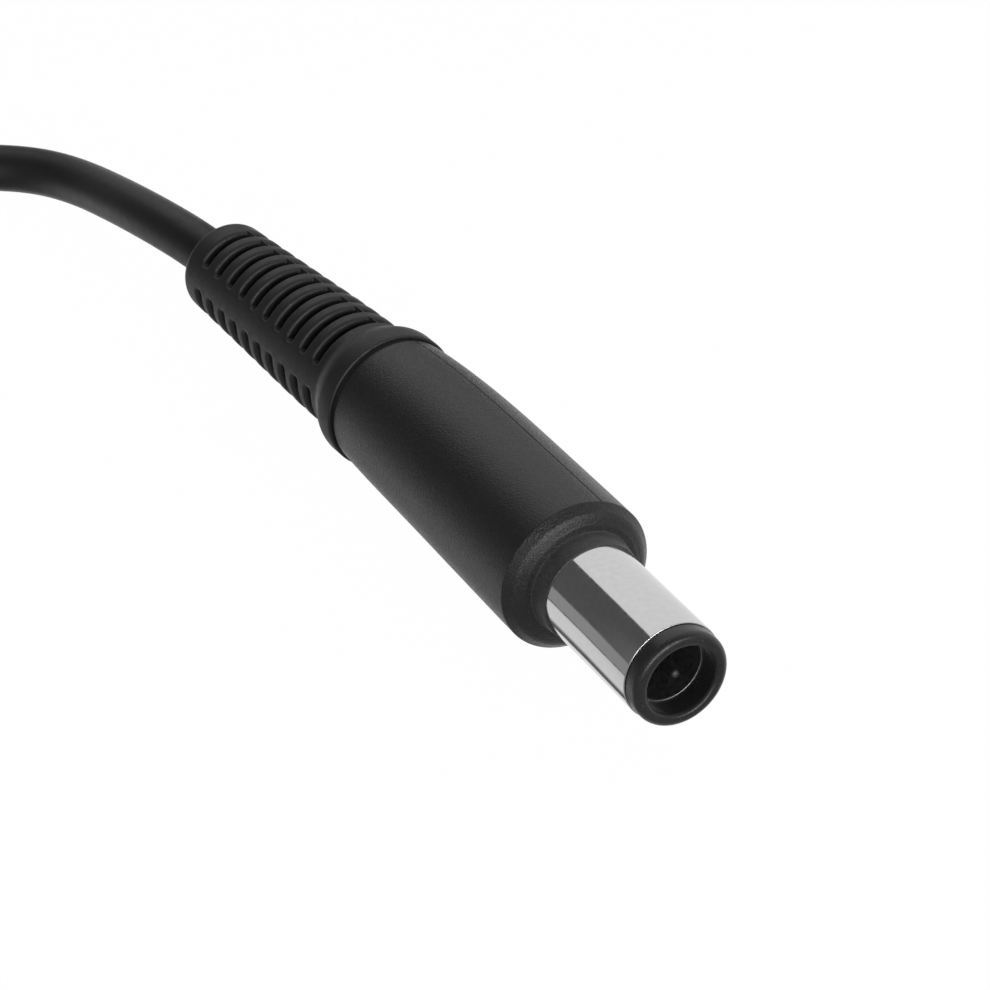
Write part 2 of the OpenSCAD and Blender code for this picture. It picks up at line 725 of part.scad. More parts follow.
module safety_capacitor() {
    r = 3.2;
    lift = 4.4;
    at = [-6, 13.8];
    color("#3f6fa8") on_board() translate([at[0], at[1], lift]) along_x() rod(r, -1.4, 1.4);
    color(nickel) on_board() for (y = [-1.5, 1.5]) translate([at[0], at[1] + y, 0]) rod(0.3, 0, lift - r + 0.6);
}

module optocoupler() {
    color("#e8e6e0") on_board() block([-2, 15.8, 0], [4, 18.8, 3.5]);
}

module control_chip() {
    color("#1d1d1f") translate([board_x, 0, board_z]) block([1, -2, -1.5], [6, 2, 0]);
}

module output_capacitors() {
    color("#2d3a55") on_board() for (y = [-7.5, 1.2]) translate([-32.5, y, 0]) rod(4.1, 0, 14);
}

module output_choke() {
    color(copper) on_board() translate([-32.5, 9.2, 0]) rod(3.4, 0, 11);
}

module heat_spreader() {
    edge = sink_y + sink_t;
    color(aluminium) on_board() difference() {
        block([-31, -edge, sink_h], [31, edge, sink_h + spreader_t]);
        block([-30, -14, sink_h - 1], [30, 14, sink_h + 2]);
    }
}

module output_wires() {
    riser_x = board_x0 + 1;
    color("#8f2f2a") for (y = [-1.1, 1.1]) {
        translate([riser_x, y, 0]) rod(wire_r, deck_z, gland_z + wire_r);
        translate([0, y, gland_z]) along_x() rod(wire_r - fit, cord_end_x, riser_x);
    }
}

plug_barrel();
plug_tip_ring();
plug_inner_contact();
plug_core_sleeve();
plug_pin_bush();
plug_centre_pin();
plug_inner_mould();
plug_wires();
plug_cable_ferrule();
plug_grip();
plug_strain_relief();
cord_run();
cord_coil();
cord_at_brick();
cord_tie();
cord_gland();
case_base();
case_lid();
rubber_feet();
mains_inlet();
inlet_pins();
light_pipe();
status_led();
circuit_board();
insulation_sheet();
fuse();
thermistor();
mains_capacitor();
choke_core();
choke_winding();
bridge_rectifier();
bulk_capacitor();
transformer_core();
transformer_winding();
switching_transistor();
primary_heatsink();
output_rectifier();
secondary_heatsink();
safety_capacitor();
optocoupler();
control_chip();
output_capacitors();
output_choke();
heat_spreader();
output_wires();
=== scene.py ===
import math
import bmesh
import bpy
import numpy as np
from mathutils import Matrix, Vector


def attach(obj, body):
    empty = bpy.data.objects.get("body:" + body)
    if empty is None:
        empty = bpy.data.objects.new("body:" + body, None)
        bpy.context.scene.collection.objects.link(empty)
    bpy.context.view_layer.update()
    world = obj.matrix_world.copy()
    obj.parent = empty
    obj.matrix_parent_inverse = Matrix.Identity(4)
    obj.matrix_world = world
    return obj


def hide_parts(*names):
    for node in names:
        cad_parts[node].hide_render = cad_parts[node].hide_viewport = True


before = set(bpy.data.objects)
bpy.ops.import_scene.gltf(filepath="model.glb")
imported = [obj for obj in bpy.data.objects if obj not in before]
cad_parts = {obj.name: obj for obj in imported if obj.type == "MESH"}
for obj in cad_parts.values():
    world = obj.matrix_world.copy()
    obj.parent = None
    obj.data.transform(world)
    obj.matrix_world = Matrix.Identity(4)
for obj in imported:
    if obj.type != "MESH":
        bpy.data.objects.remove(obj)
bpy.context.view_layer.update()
body = "root"  # nothing on the adapter is jointed
mm = 0.001


def setNode(tree, node, settings):
    # each setting is a source or a value for an input, by its name or number, or else a property of the node
    for key, value in settings.items():
        if not isinstance(key, int) and key not in node.inputs:
            setattr(node, key, value)
        elif isinstance(value, bpy.types.NodeSocket):
            tree.links.new(value, node.inputs[key])
        else:
            node.inputs[key].default_value = value
    return node


def addNode(tree, kind, settings=None):
    return setNode(tree, tree.nodes.new(kind), settings or {})


def addNodes(tree, known, rows):
    # a node for each row of names for its results, kind and settings; a setting that is such a name is linked
    for names, kind, settings in rows:
        node = addNode(tree, kind, {key: known.get(value, value) for key, value in settings.items()})
        known.update(zip(names.split(), (result for result in node.outputs if result.enabled)))


def addAlike(tree, known, kind, keys, rows, **always):
    # the same for nodes of one kind, where a row is a name and the values of those keys
    addNodes(tree, known, [(name, kind, {**always, **dict(zip(keys, values))}) for name, *values in rows])


mathsKeys = ("operation", 0, 1, 2)
rangeKeys = ("Value", "From Min", "From Max")


def linear(hexColour):
    parts = [int(hexColour[i:i + 2], 16) / 255 for i in (1, 3, 5)]
    return (*(p / 12.92 if p <= 0.04045 else ((p + 0.055) / 1.055) ** 2.4 for p in parts), 1.0)


def smoothStep(x):
    x = np.clip(x, 0, 1)
    return x * x * (3 - 2 * x)


def arcPoints(centreRadius, centreStation, radius, start, end, steps=8):
    turns = [math.radians(start + (end - start) * i / steps) for i in range(steps + 1)]
    return [(centreRadius + radius * math.cos(t), centreStation + radius * math.sin(t)) for t in turns]


def newPiece(name, mesh, material, slot, *nodes):
    mesh.materials.clear()
    mesh.materials.append(material)
    piece = bpy.data.objects.new(name, mesh)
    bpy.context.scene.collection.objects.link(piece)
    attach(piece, body)
    if nodes:
        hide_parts(*nodes)
    return piece


def finishMesh(mesh, place, sharpAngle=35):
    mesh.transform(place)
    mesh.update()
    mesh.shade_smooth()
    mesh.set_sharp_from_angle(angle=math.radians(sharpAngle))
    return mesh


def turnedMesh(name, profile, angles=192, closed=True):
    # profile is (radius, station) counter-clockwise as seen with the radius to the right
    if isinstance(angles, int):
        angles = np.linspace(0, 2 * math.pi, angles, endpoint=False)
    radii, stations = np.array(profile, float).T
    count, around = len(profile), len(angles)
    points = np.zeros((count, around, 3))
    points[:, :, 0] = radii[:, None] * np.cos(angles)
    points[:, :, 1] = radii[:, None] * np.sin(angles)
    points[:, :, 2] = stations[:, None]
    rows = range(count if closed else count - 1)
    faces = []
    for i in rows:
        a, b = i * around, (i + 1) % count * around
        faces += [(a + j, a + (j + 1) % around, b + (j + 1) % around, b + j) for j in range(around)]
    if not closed:
        faces.append(tuple(reversed(range(around))))
        faces.append(tuple(range((count - 1) * around, count * around)))
    mesh = bpy.data.meshes.new(name)
    mesh.from_pydata(points.reshape(-1, 3).tolist(), [], faces)
    mesh.update()
    return mesh


def denser(values, centres, offsets, least):
    wanted = list(values) + [c + s * o for c in centres for o in offsets for s in (-1, 1)]
    kept = []
    for v in sorted(wanted):
        if not kept or v - kept[-1] >= least:
            kept.append(v)
    return kept


cameraView = {
    "place": (0.024338, -0.361136, 0.163929),
    "tiltDown": 33.02,  # degrees below level, looking along +Y
    "lens": 150.29,  # mm on a 36 mm sensor
}
camera = bpy.data.objects.new("camera", bpy.data.cameras.new("camera"))
bpy.context.scene.collection.objects.link(camera)
camera.location = cameraView["place"]
camera.rotation_euler = (math.radians(90 - cameraView["tiltDown"]), 0, 0)
camera.data.lens = cameraView["lens"]
camera.data.clip_start, camera.data.clip_end = 0.01, 20
bpy.context.scene.camera = camera
bpy.context.scene.view_settings.view_transform = "Standard"
print("camera set")


plugPlace = {  # how the plug lies on the table
    "boss": (0.031, -0.130, 0.00575),  # centre of the boss's front face
    "turn": -61.0,  # degrees, the way the plug points on the table
    "bendStation": -23.70,  # mm, where the relief's axis leaves the plug's
    "bend": 4.75,  # degrees
    "bendReach": 9.0,  # mm either side of that over which it bends
}
onPlug = (Matrix.Translation(plugPlace["boss"]) @ Matrix.Rotation(math.radians(plugPlace["turn"]), 4, "Z")
          @ Matrix.Rotation(math.radians(90), 4, "Y") @ Matrix.Scale(mm, 4))


def bent(points):
    # points in mm along a straight plug, moved to where the bent one has them
    points = np.array(points, float)
    bend, reach = math.radians(plugPlace["bend"]), plugPlace["bendReach"]
    radius = reach / math.tan(bend / 2)
    start = plugPlace["bendStation"] + reach
    y, z = points[:, 1].copy(), points[:, 2].copy()
    turn = np.clip((start - z) / (radius * bend), 0, 1) * bend
    beyond = np.minimum(z - start + radius * bend, 0)
    points[:, 1] = -radius * (1 - np.cos(turn)) + beyond * np.sin(turn) + y * np.cos(turn)
    points[:, 2] = (start - radius * np.sin(turn) + beyond * np.cos(turn) + np.maximum(z - start, 0)
                    - y * np.sin(turn))
    return points


def bend(mesh):
    points = bent([v.co for v in mesh.vertices])
    mesh.vertices.foreach_set("co", points.ravel())
    return mesh


# what each moulded finish is: colours, roughness, grain and cloud in mm, depth of the grain in mm,
# and on some painted glints, pale specks in the colour: cell size in mm, share of cells without, colour
finishes = {
    # spark-eroded mould grain on soft PVC: matt, with pinpoint glints painted in as pale specks; drawn a little
    # coarser than it is
    "grainedPvc": {"low": "#161617", "high": "#1f1f21", "rough": (0.27, 0.48), "grain": 0.13, "depth": 0.045,
                   "cloud": 5.0, "sheen": 0.05, "paintedGlint": (0.09, 0.90, "#404042")},
    # the same grain, painted paler round the barrel for the light the barrel throws back on it
    "paintedLightPvc": {"low": "#2b2b2c", "high": "#3e3e40", "rough": (0.34, 0.58), "grain": 0.13, "depth": 0.045,
                  "cloud": 0.8, "specular": 0.55, "sheen": 0.04, "paintedGlint": (0.09, 0.86, "#606062")},
    # polished mould, soft PVC: satin with a slow roll in the highlights
    "smoothPvc": {"low": "#141416", "high": "#1b1b1d", "rough": (0.46, 0.58), "grain": 0.45, "depth": 0.006,
                  "cloud": 4.0, "sheen": 0.18, "paintedGlint": (0.2, 0.985, "#4a4a4c")},
    # extruded jacket: satin, faint draw lines along the cord
    "jacketPvc": {"low": "#0d0d0e", "high": "#141415", "rough": (0.44, 0.54), "grain": 0.7, "depth": 0.004,
                  "cloud": 9.0, "specular": 0.45, "sheen": 0.34, "paintedGlint": (0.2, 0.99, "#4a4a4c")},
    # glass-filled nylon ring: satin, with fine painted glints as pale specks
    "ringNylon": {"low": "#1e1e1f", "high": "#29292b", "rough": (0.26, 0.40), "grain": 0.20, "depth": 0.010,
                  "cloud": 2.0, "specular": 0.42, "sheen": 0.15, "paintedGlint": (0.10, 0.93, "#58585a")},
    # textured polycarbonate case: an even matt leather-fine grain
    "casePolycarbonate": {"low": "#191a1b", "high": "#212223", "rough": (0.46, 0.60), "grain": 0.45,
                          "depth": 0.018, "cloud": 14.0},
    # flame-retardant PBT of the inlet: plain semi-matt black
    "inletPbt": {"low": "#151516", "high": "#1c1c1d", "rough": (0.34, 0.44), "grain": 0.35, "depth": 0.005,
                 "cloud": 6.0},
    # silicone feet: dull and slightly dusty
    "footSilicone": {"low": "#1f1f20", "high": "#2b2b2c", "rough": (0.66, 0.82), "grain": 0.25,
                     "depth": 0.008, "cloud": 3.0, "specular": 0.4},
    # natural nylon of the plug's core
    "naturalNylon": {"low": "#cfc9ba", "high": "#ddd8cb", "rough": (0.38, 0.5), "grain": 0.4, "depth": 0.004,
                     "cloud": 4.0},
    # frosted acrylic rod: pale and glossy at its end
    "frostedAcrylic": {"low": "#c4d0c8", "high": "#d6e0d8", "rough": (0.12, 0.2), "grain": 0.5,
                       "depth": 0.001, "cloud": 2.0, "specular": 0.6},
    # cast epoxy lens of the status light
    "lensEpoxy": {"low": "#a9cdb4", "high": "#bcdcc4", "rough": (0.08, 0.16), "grain": 0.5, "depth": 0.001,
                  "cloud": 2.0, "specular": 0.6},
    # moulded epoxy of the black devices: stone-dull with a fine filler grain
    "deviceEpoxy": {"low": "#141415", "high": "#1d1d1e", "rough": (0.5, 0.66), "grain": 0.12, "depth": 0.006,
                    "cloud": 3.0, "specular": 0.45},
    # cream housing of the optocoupler
    "creamEpoxy": {"low": "#d8d4c6", "high": "#e6e2d6", "rough": (0.5, 0.62), "grain": 0.15, "depth": 0.004,
                   "cloud": 3.0, "specular": 0.45},
    # dipped epoxy, lumpy and glossy: green on the thermistor, blue on the safety capacitor
    "greenDip": {"low": "#1e3a28", "high": "#2b4d36", "rough": (0.14, 0.26), "grain": 1.6, "depth": 0.05,
                 "cloud": 3.0},
    "blueDip": {"low": "#2f5f98", "high": "#4476ad", "rough": (0.14, 0.26), "grain": 1.4, "depth": 0.05,
                "cloud": 3.0},
    # yellow polyester box of the film capacitor
    "yellowBox": {"low": "#cbb03a", "high": "#dac24c", "rough": (0.34, 0.46), "grain": 0.5, "depth": 0.004,
                  "cloud": 5.0},
    # brown thermoplastic of the fuse's cap
    "brownCap": {"low": "#523722", "high": "#6a4930", "rough": (0.36, 0.48), "grain": 0.4, "depth": 0.004,
                 "cloud": 4.0},
    # sintered ferrite: near-black ceramic with a powdery face
    "sinteredFerrite": {"low": "#2b2c30", "high": "#3a3b40", "rough": (0.55, 0.75), "grain": 0.1,
                        "depth": 0.008, "cloud": 2.0, "specular": 0.4},
    # grey-blue powder coat on the choke's ring
    "coatedFerrite": {"low": "#35414c", "high": "#43505c", "rough": (0.45, 0.6), "grain": 0.3, "depth": 0.010,
                      "cloud": 3.0, "specular": 0.45},
    # pressed fibre sheet: papery, with a soft mottle
    "fibreSheet": {"low": "#c2baa0", "high": "#d6cfb6", "rough": (0.6, 0.78), "grain": 0.6, "depth": 0.012,
                   "cloud": 2.5, "specular": 0.35},
}


def newFinish(name, rows, surface):
    # a material with the nodes of rows, as addNodes takes them, and what its surface takes from them
    material = bpy.data.materials.new(name)
    material.use_nodes = True
    tree = material.node_tree
    known = {"place": addNode(tree, "ShaderNodeTexCoord").outputs["Object"]}
    addNodes(tree, known, rows)
    shader = tree.nodes["Principled BSDF"]
    setNode(tree, shader, {key: known.get(value, value) for key, value in surface.items()})
    return material


def mouldedFinish(name):
    look = finishes[name]
    rows = [
        ("cloud", "ShaderNodeTexNoise", {"Scale": 1 / (look["cloud"] * mm), "Detail": 3.0,
         "Vector": "place"}),
        ("grain", "ShaderNodeTexNoise", {"Scale": 1 / (look["grain"] * mm), "Detail": 2.0, "Roughness": 0.6,
         "Vector": "place"}),
        ("colour", "ShaderNodeMix", {"data_type": "RGBA", 0: "cloud", 6: linear(look["low"]),
         7: linear(look["high"])}),
        ("rough", "ShaderNodeMapRange", {"Value": "grain", "From Min": 0.3, "From Max": 0.7,
         "To Min": look["rough"][0], "To Max": look["rough"][1]}),
        ("normal", "ShaderNodeBump", {"Strength": 1.0, "Distance": look["depth"] * mm, "Height": "grain"})]
    # painted glints: pale specks mixed into the colour where the grain would sparkle
    if "paintedGlint" in look:
        size, rare, tint = look["paintedGlint"]
        rows += [
            ("distance draw", "ShaderNodeTexVoronoi", {"Scale": 1 / (size * mm), "Vector": "place"}),
            ("drawn", "ShaderNodeSeparateColor", {0: "draw"}),
            ("chosen", "ShaderNodeMapRange", {"Value": "drawn", "From Min": rare, "From Max": rare + 0.02}),
            ("near", "ShaderNodeMapRange", {"Value": "distance", "From Min": 0.45, "From Max": 0.15}),
            ("paintedGlintShare", "ShaderNodeMath", {"operation": "MULTIPLY", 0: "chosen", 1: "near"}),
            ("colour", "ShaderNodeMix", {"data_type": "RGBA", 0: "paintedGlintShare", 6: "colour", 7: linear(tint)})]
    return newFinish(name, rows, {
        "Base Color": "colour", "Roughness": "rough", "Normal": "normal", "Sheen Roughness": 0.32,
        "Specular IOR Level": look.get("specular", 0.5), "Sheen Weight": look.get("sheen", 0.0)})


# what each metal is, and how it was made
metals = {
    # barrel nickel over turned brass: a mirror with the faintest bloom
    "platedNickel": {"low": "#c4c4c4", "high": "#d8d8d8", "rough": (0.04, 0.12), "grain": 0.45,
                     "depth": 0.0012},
    # dull tin on contacts and pins
    "dullTin": {"low": "#8e8e8c", "high": "#a2a2a0", "rough": (0.24, 0.38), "grain": 0.3, "depth": 0.002},
    # tarnished inside of the bore
    "boreTin": {"low": "#808083", "high": "#9a9a9c", "rough": (0.34, 0.52), "grain": 0.3, "depth": 0.004},
    # steel of the sense pin, darker in tone than the other metals
    "pinSteel": {"low": "#505052", "high": "#606062", "rough": (0.5, 0.65), "grain": 0.2, "depth": 0.002},
    # mill-finish aluminium sheet of the heat sinks
    "millAluminium": {"low": "#9c9ea0", "high": "#b3b5b7", "rough": (0.32, 0.48), "grain": 0.4,
                      "depth": 0.003},
}


def metalFinish(name):
    look = metals[name]
    return newFinish(name, (
        ("bloom", "ShaderNodeTexNoise", {"Scale": 1 / (look["grain"] * mm), "Detail": 4.0, "Roughness": 0.65,
         "Vector": "place"}),
        ("colour", "ShaderNodeMix", {"data_type": "RGBA", 0: "bloom", 6: linear(look["low"]),
         7: linear(look["high"])}),
        ("rough", "ShaderNodeMapRange", {"Value": "bloom", "From Min": 0.35, "From Max": 0.65,
         "To Min": look["rough"][0], "To Max": look["rough"][1]}),
        ("normal", "ShaderNodeBump", {"Strength": 1.0, "Distance": look["depth"] * mm, "Height": "bloom"})),
        {"Base Color": "colour", "Roughness": "rough", "Normal": "normal", "Metallic": 1.0})


# wire laid side by side, up the z axis: pitch of the turns and how proud they stand in mm
wound = {
    "enamelledWire": {"low": "#9c5a34", "high": "#bd774a", "rough": 0.28, "metal": 0.9, "pitch": 0.9,
                      "depth": 0.12},
    "tapedWinding": {"low": "#c09a30", "high": "#d2b04a", "rough": 0.3, "metal": 0.0, "pitch": 2.2,
                     "depth": 0.03},
}


def woundFinish(name):
    look = wound[name]
    return newFinish(name, (
        ("x y z", "ShaderNodeSeparateXYZ", {0: "place"}),
        ("turn", "ShaderNodeMath", {"operation": "MULTIPLY", 0: "z", 1: 2 * math.pi / (look["pitch"] * mm)}),
        ("turns", "ShaderNodeMath", {"operation": "SINE", 0: "turn"}),
        ("cloud", "ShaderNodeTexNoise", {"Scale": 1 / (1.5 * mm), "Detail": 3.0, "Vector": "place"}),
        ("colour", "ShaderNodeMix", {"data_type": "RGBA", 0: "cloud", 6: linear(look["low"]),
         7: linear(look["high"])}),
        ("normal", "ShaderNodeBump", {"Distance": look["depth"] * mm / 2, "Height": "turns"})),
        {"Base Color": "colour", "Roughness": look["rough"], "Metallic": look["metal"], "Normal": "normal"})


# glossy shrink sleeve, bare aluminium where the can shows: axis, and from and to of the sleeve in mm
cans = {
    "bigCanSleeve": {"low": "#1c2026", "high": "#262a31", "can": "#b4b6b8", "axis": "y",
                     "span": (-10.2, 15.0)},
    "smallCanSleeve": {"low": "#22304c", "high": "#2d3d5c", "can": "#b4b6b8", "axis": "z",
                       "span": (0.0, 20.7)},
}


def canFinish(name):
    look = cans[name]
    start, end = look["span"]
    return newFinish(name, (
        ("x y z", "ShaderNodeSeparateXYZ", {0: "place"}),
        ("begun", "ShaderNodeMath", {"operation": "GREATER_THAN", 0: look["axis"], 1: start * mm}),
        ("notOver", "ShaderNodeMath", {"operation": "LESS_THAN", 0: look["axis"], 1: end * mm}),
        ("sleeve", "ShaderNodeMath", {"operation": "MULTIPLY", 0: "begun", 1: "notOver"}),
        ("cloud", "ShaderNodeTexNoise", {"Scale": 1 / (3 * mm), "Detail": 2.0, "Vector": "place"}),
        ("tint", "ShaderNodeMix", {"data_type": "RGBA", 0: "cloud", 6: linear(look["low"]),
         7: linear(look["high"])}),
        ("colour", "ShaderNodeMix", {"data_type": "RGBA", 0: "sleeve", 6: linear(look["can"]), 7: "tint"}),
        ("metal", "ShaderNodeMath", {"operation": "SUBTRACT", 0: 1.0, 1: "sleeve"})),
        {"Base Color": "colour", "Roughness": 0.24, "Metallic": "metal"})


boardLook = {"mask": "#1f5234", "track": "#2c6a45", "weave": 0.9, "cell": 4.2}


def boardFinish():
    # green solder mask, a shade lighter over the copper tracks, glass weave faintly proud
    return newFinish("solderMask", (
        ("tracks", "ShaderNodeTexVoronoi", {"feature": "DISTANCE_TO_EDGE",
         "Scale": 1 / (boardLook["cell"] * mm), "Vector": "place"}),
        ("share", "ShaderNodeMapRange", {"Value": "tracks", "From Min": 0.10, "From Max": 0.13}),
        ("colour", "ShaderNodeMix", {"data_type": "RGBA", 0: "share", 6: linear(boardLook["track"]),
         7: linear(boardLook["mask"])}),
        ("weave", "ShaderNodeTexNoise", {"Scale": 1 / (boardLook["weave"] * mm), "Vector": "place"}),
        ("normal", "ShaderNodeBump", {"Distance": 0.004 * mm, "Height": "weave"})),
        {"Base Color": "colour", "Roughness": 0.3, "Normal": "normal"})


wireLook = {"plus": "#8c2420", "minus": "#17171a", "split": 0.0}


def wireFinish():
    # two insulated leads, told apart by colour
    return newFinish("leadJacket", (
        ("x y z", "ShaderNodeSeparateXYZ", {0: "place"}),
        ("side", "ShaderNodeMath", {"operation": "GREATER_THAN", 0: "y", 1: wireLook["split"]}),
        ("colour", "ShaderNodeMix", {"data_type": "RGBA", 0: "side", 6: linear(wireLook["minus"]),
         7: linear(wireLook["plus"])}),
        ("cloud", "ShaderNodeTexNoise", {"Scale": 1 / (0.8 * mm), "Vector": "place"}),
        ("normal", "ShaderNodeBump", {"Distance": 0.003 * mm, "Height": "cloud"})),
        {"Base Color": "colour", "Roughness": 0.36, "Normal": "normal"})


wovenLook = {"low": "#131315", "high": "#29292c", "thread": 0.55, "depth": 0.10, "fuzz": 0.22}


def wovenFinish():
    # hook-and-loop webbing: threads over and under, a dull fuzz on top; reads the strap's own lengths
    look = wovenLook
    threads = math.pi / (look["thread"] * mm)
    return newFinish("wovenNylon", (
        ("colours lengths", "ShaderNodeAttribute", {"attribute_name": "strap"}),
        ("x y z", "ShaderNodeSeparateXYZ", {0: "lengths"}),
        ("alongTurn", "ShaderNodeMath", {"operation": "MULTIPLY", 0: "x", 1: threads}),
        ("along", "ShaderNodeMath", {"operation": "SINE", 0: "alongTurn"}),
        ("acrossTurn", "ShaderNodeMath", {"operation": "MULTIPLY", 0: "y", 1: threads}),
        ("across", "ShaderNodeMath", {"operation": "SINE", 0: "acrossTurn"}),
        ("weave", "ShaderNodeMath", {"operation": "MULTIPLY", 0: "along", 1: "across"}),
        ("fuzz", "ShaderNodeTexNoise", {"Scale": 1 / (look["fuzz"] * mm), "Detail": 3.0,
         "Vector": "lengths"}),
        ("height", "ShaderNodeMath", {"operation": "MULTIPLY_ADD", 0: "weave", 1: 0.35, 2: "fuzz"}),
        # the colour follows that height: painted shade in the hollows of the weave, paler on the raised threads
        # and the fuzz
        ("colour", "ShaderNodeMix", {"data_type": "RGBA", 0: "height", 6: linear(look["low"]),
         7: linear(look["high"])}),
        ("normal", "ShaderNodeBump", {"Distance": look["depth"] * mm, "Height": "height"})),
        {"Base Color": "colour", "Roughness": 0.85, "Specular IOR Level": 0.3, "Normal": "normal"})


made = {name: mouldedFinish(name) for name in finishes}
made.update({name: metalFinish(name) for name in metals})
made.update({name: woundFinish(name) for name in wound})
made.update({name: canFinish(name) for name in cans})
made.update({"solderMask": boardFinish(), "leadJacket": wireFinish(), "wovenNylon": wovenFinish()})
print("materials made:", len(made))


cordSize = {  # mm
    "radius": 1.9,
    "around": 24,  # sides of the jacket
    "glandEnd": -77.0,  # where it leaves the gland
    "exitHeight": 15.6,
    "coilCentre": (-92.0, -28.5),
    "coilRadius": 28.5,
    "coilPitch": 4.25,
    "coilTurns": 3.125,  # in a layer
    "coilLayers": 4,
    "coilTop": 15.65,
    "coilEase": 4,  # rings either side over which the spiral turns round
    "step": 0.8,  # mm between rings where it isn't coiled
    "ringsPerTurn": 72,
    "ease": 4,  # steps either side over which its bends are eased
    "easeEnds": 14,  # steps at each end over which that fades in
    "straightOut": 2,
    "towardsCoil": (-84, 0, 15.63),
    "insidePlug": (-53.9, -52.9, -45, -37, -31, -27, -23, -20.1),  # stations along the bent plug
}
# the cord's way over the table from the coil to the plug, mm
cordRoute = [
    (-80, -57, 2.7), (-72, -57.3, 2.2), (-64, -58.2, 1.9), (-56, -59.4, 1.9), (-48, -60.8, 1.9), (-40, -62, 1.9),
    (-32, -62.7, 1.9), (-25, -62.9, 1.9), (-20, -62.7, 1.9), (-16.6, -62.4, 1.9), (-13.8, -62.7, 1.9),
    (-12, -63.8, 2.1), (-10.3, -65.3, 2.4), (-8.4, -67.7, 3), (-6.5, -70.8, 3.8), (-4.6, -73.9, 4.6),
    (-2.8, -76.8, 5.3), (-1.1, -79.3, 5.6), (0.8, -81.4, 5.75)]


def smoothed(values, reach):
    window = np.ones(2 * reach + 1) / (2 * reach + 1)
    return np.convolve(np.pad(values, reach, mode="edge"), window, mode="valid")


def coilPoints():
    # winds in and out again layer by layer, from the top layer to the bottom one
    layer = 360 * cordSize["coilTurns"]
    sweep = layer * cordSize["coilLayers"]
    inner = cordSize["coilTurns"] * cordSize["coilPitch"]
    angles = np.linspace(0, sweep, round(sweep / 360 * cordSize["ringsPerTurn"]) + 1)
    swing = np.abs((angles / layer + 1) % 2 - 1)
    level = np.zeros_like(angles)
    for k in range(1, cordSize["coilLayers"]):
        level += smoothStep((angles - k * layer) / 180 + 0.5)
    radii = cordSize["coilRadius"] - inner * swing
    heights = cordSize["coilTop"] - cordSize["coilPitch"] * level
    radii = smoothed(radii, cordSize["coilEase"])
    turns = np.radians(90 + angles)
    centre = cordSize["coilCentre"]
    return np.stack([centre[0] + radii * np.cos(turns), centre[1] + radii * np.sin(turns), heights], 1)


def through(points, step):
    # an even walk along a smooth curve through the points
    points = np.array(points, float)
    ends = np.vstack([2 * points[0] - points[1], points, 2 * points[-1] - points[-2]])
    walk = []
    for i in range(len(points) - 1):
        p0, p1, p2, p3 = ends[i:i + 4]
        count = max(2, round(np.linalg.norm(p2 - p1) / step))
        for t in np.arange(count) / count:
            walk.append(0.5 * (2 * p1 + (p2 - p0) * t + (2 * p0 - 5 * p1 + 4 * p2 - p3) * t ** 2
                               + (3 * p1 - p0 - 3 * p2 + p3) * t ** 3))
    walk.append(points[-1])
    return np.array(walk)


def eased(route):
    # the jacket is too stiff for a quick wriggle
    soft = route
    for _ in range(2):
        soft = np.stack([smoothed(soft[:, k], cordSize["ease"]) for k in range(3)], 1)
    place = np.arange(len(route))
    share = smoothStep(np.minimum(place, place[::-1]) / cordSize["easeEnds"])[:, None]
    return route * (1 - share) + soft * share


def cordPath():
    left, height, step = cordSize["glandEnd"], cordSize["exitHeight"], cordSize["step"]
    coil = coilPoints()
    diameter = 2 * cordSize["radius"]
    toCoil = through([(left, 0, height), (left - cordSize["straightOut"], 0, height), cordSize["towardsCoil"],
                      coil[0] + [diameter, 0, 0], coil[0]], step)
    inside = [tuple(onPlug @ Vector(p) / mm) for p in bent([(0, 0, s) for s in cordSize["insidePlug"]])]
    route = eased(through([coil[-1], coil[-1] + [diameter, 0, 0]] + cordRoute + inside, step))
    return np.vstack([toCoil[:-1], coil[:-1], route]) * mm


def tubeMesh(name, path, radius, around):
    tangents = np.gradient(path, axis=0)
    tangents /= np.linalg.norm(tangents, axis=1)[:, None]
    side = np.cross(tangents, (0, 0, 1))
    side /= np.linalg.norm(side, axis=1)[:, None]
    up = np.cross(side, tangents)
    turns = np.linspace(0, 2 * math.pi, around, endpoint=False)
    points = (path[:, None] + radius * (np.cos(turns)[None, :, None] * side[:, None]
                                        + np.sin(turns)[None, :, None] * up[:, None])).reshape(-1, 3)
    faces = []
    for i in range(len(path) - 1):
        a, b = i * around, (i + 1) * around
        faces += [(a + j, b + j, b + (j + 1) % around, a + (j + 1) % around) for j in range(around)]
    faces += [tuple(range(around)), tuple(reversed(range((len(path) - 1) * around, len(path) * around)))]
    mesh = bpy.data.meshes.new(name)
    mesh.from_pydata(points.tolist(), [], faces)
    return finishMesh(mesh, Matrix.Identity(4), 60)


cordLine = cordPath()
cordPiece = newPiece("cord", tubeMesh("cord", cordLine, cordSize["radius"] * mm, cordSize["around"]),
                     made["jacketPvc"], "cord_jacket", "cord_run", "cord_coil", "cord_at_brick")


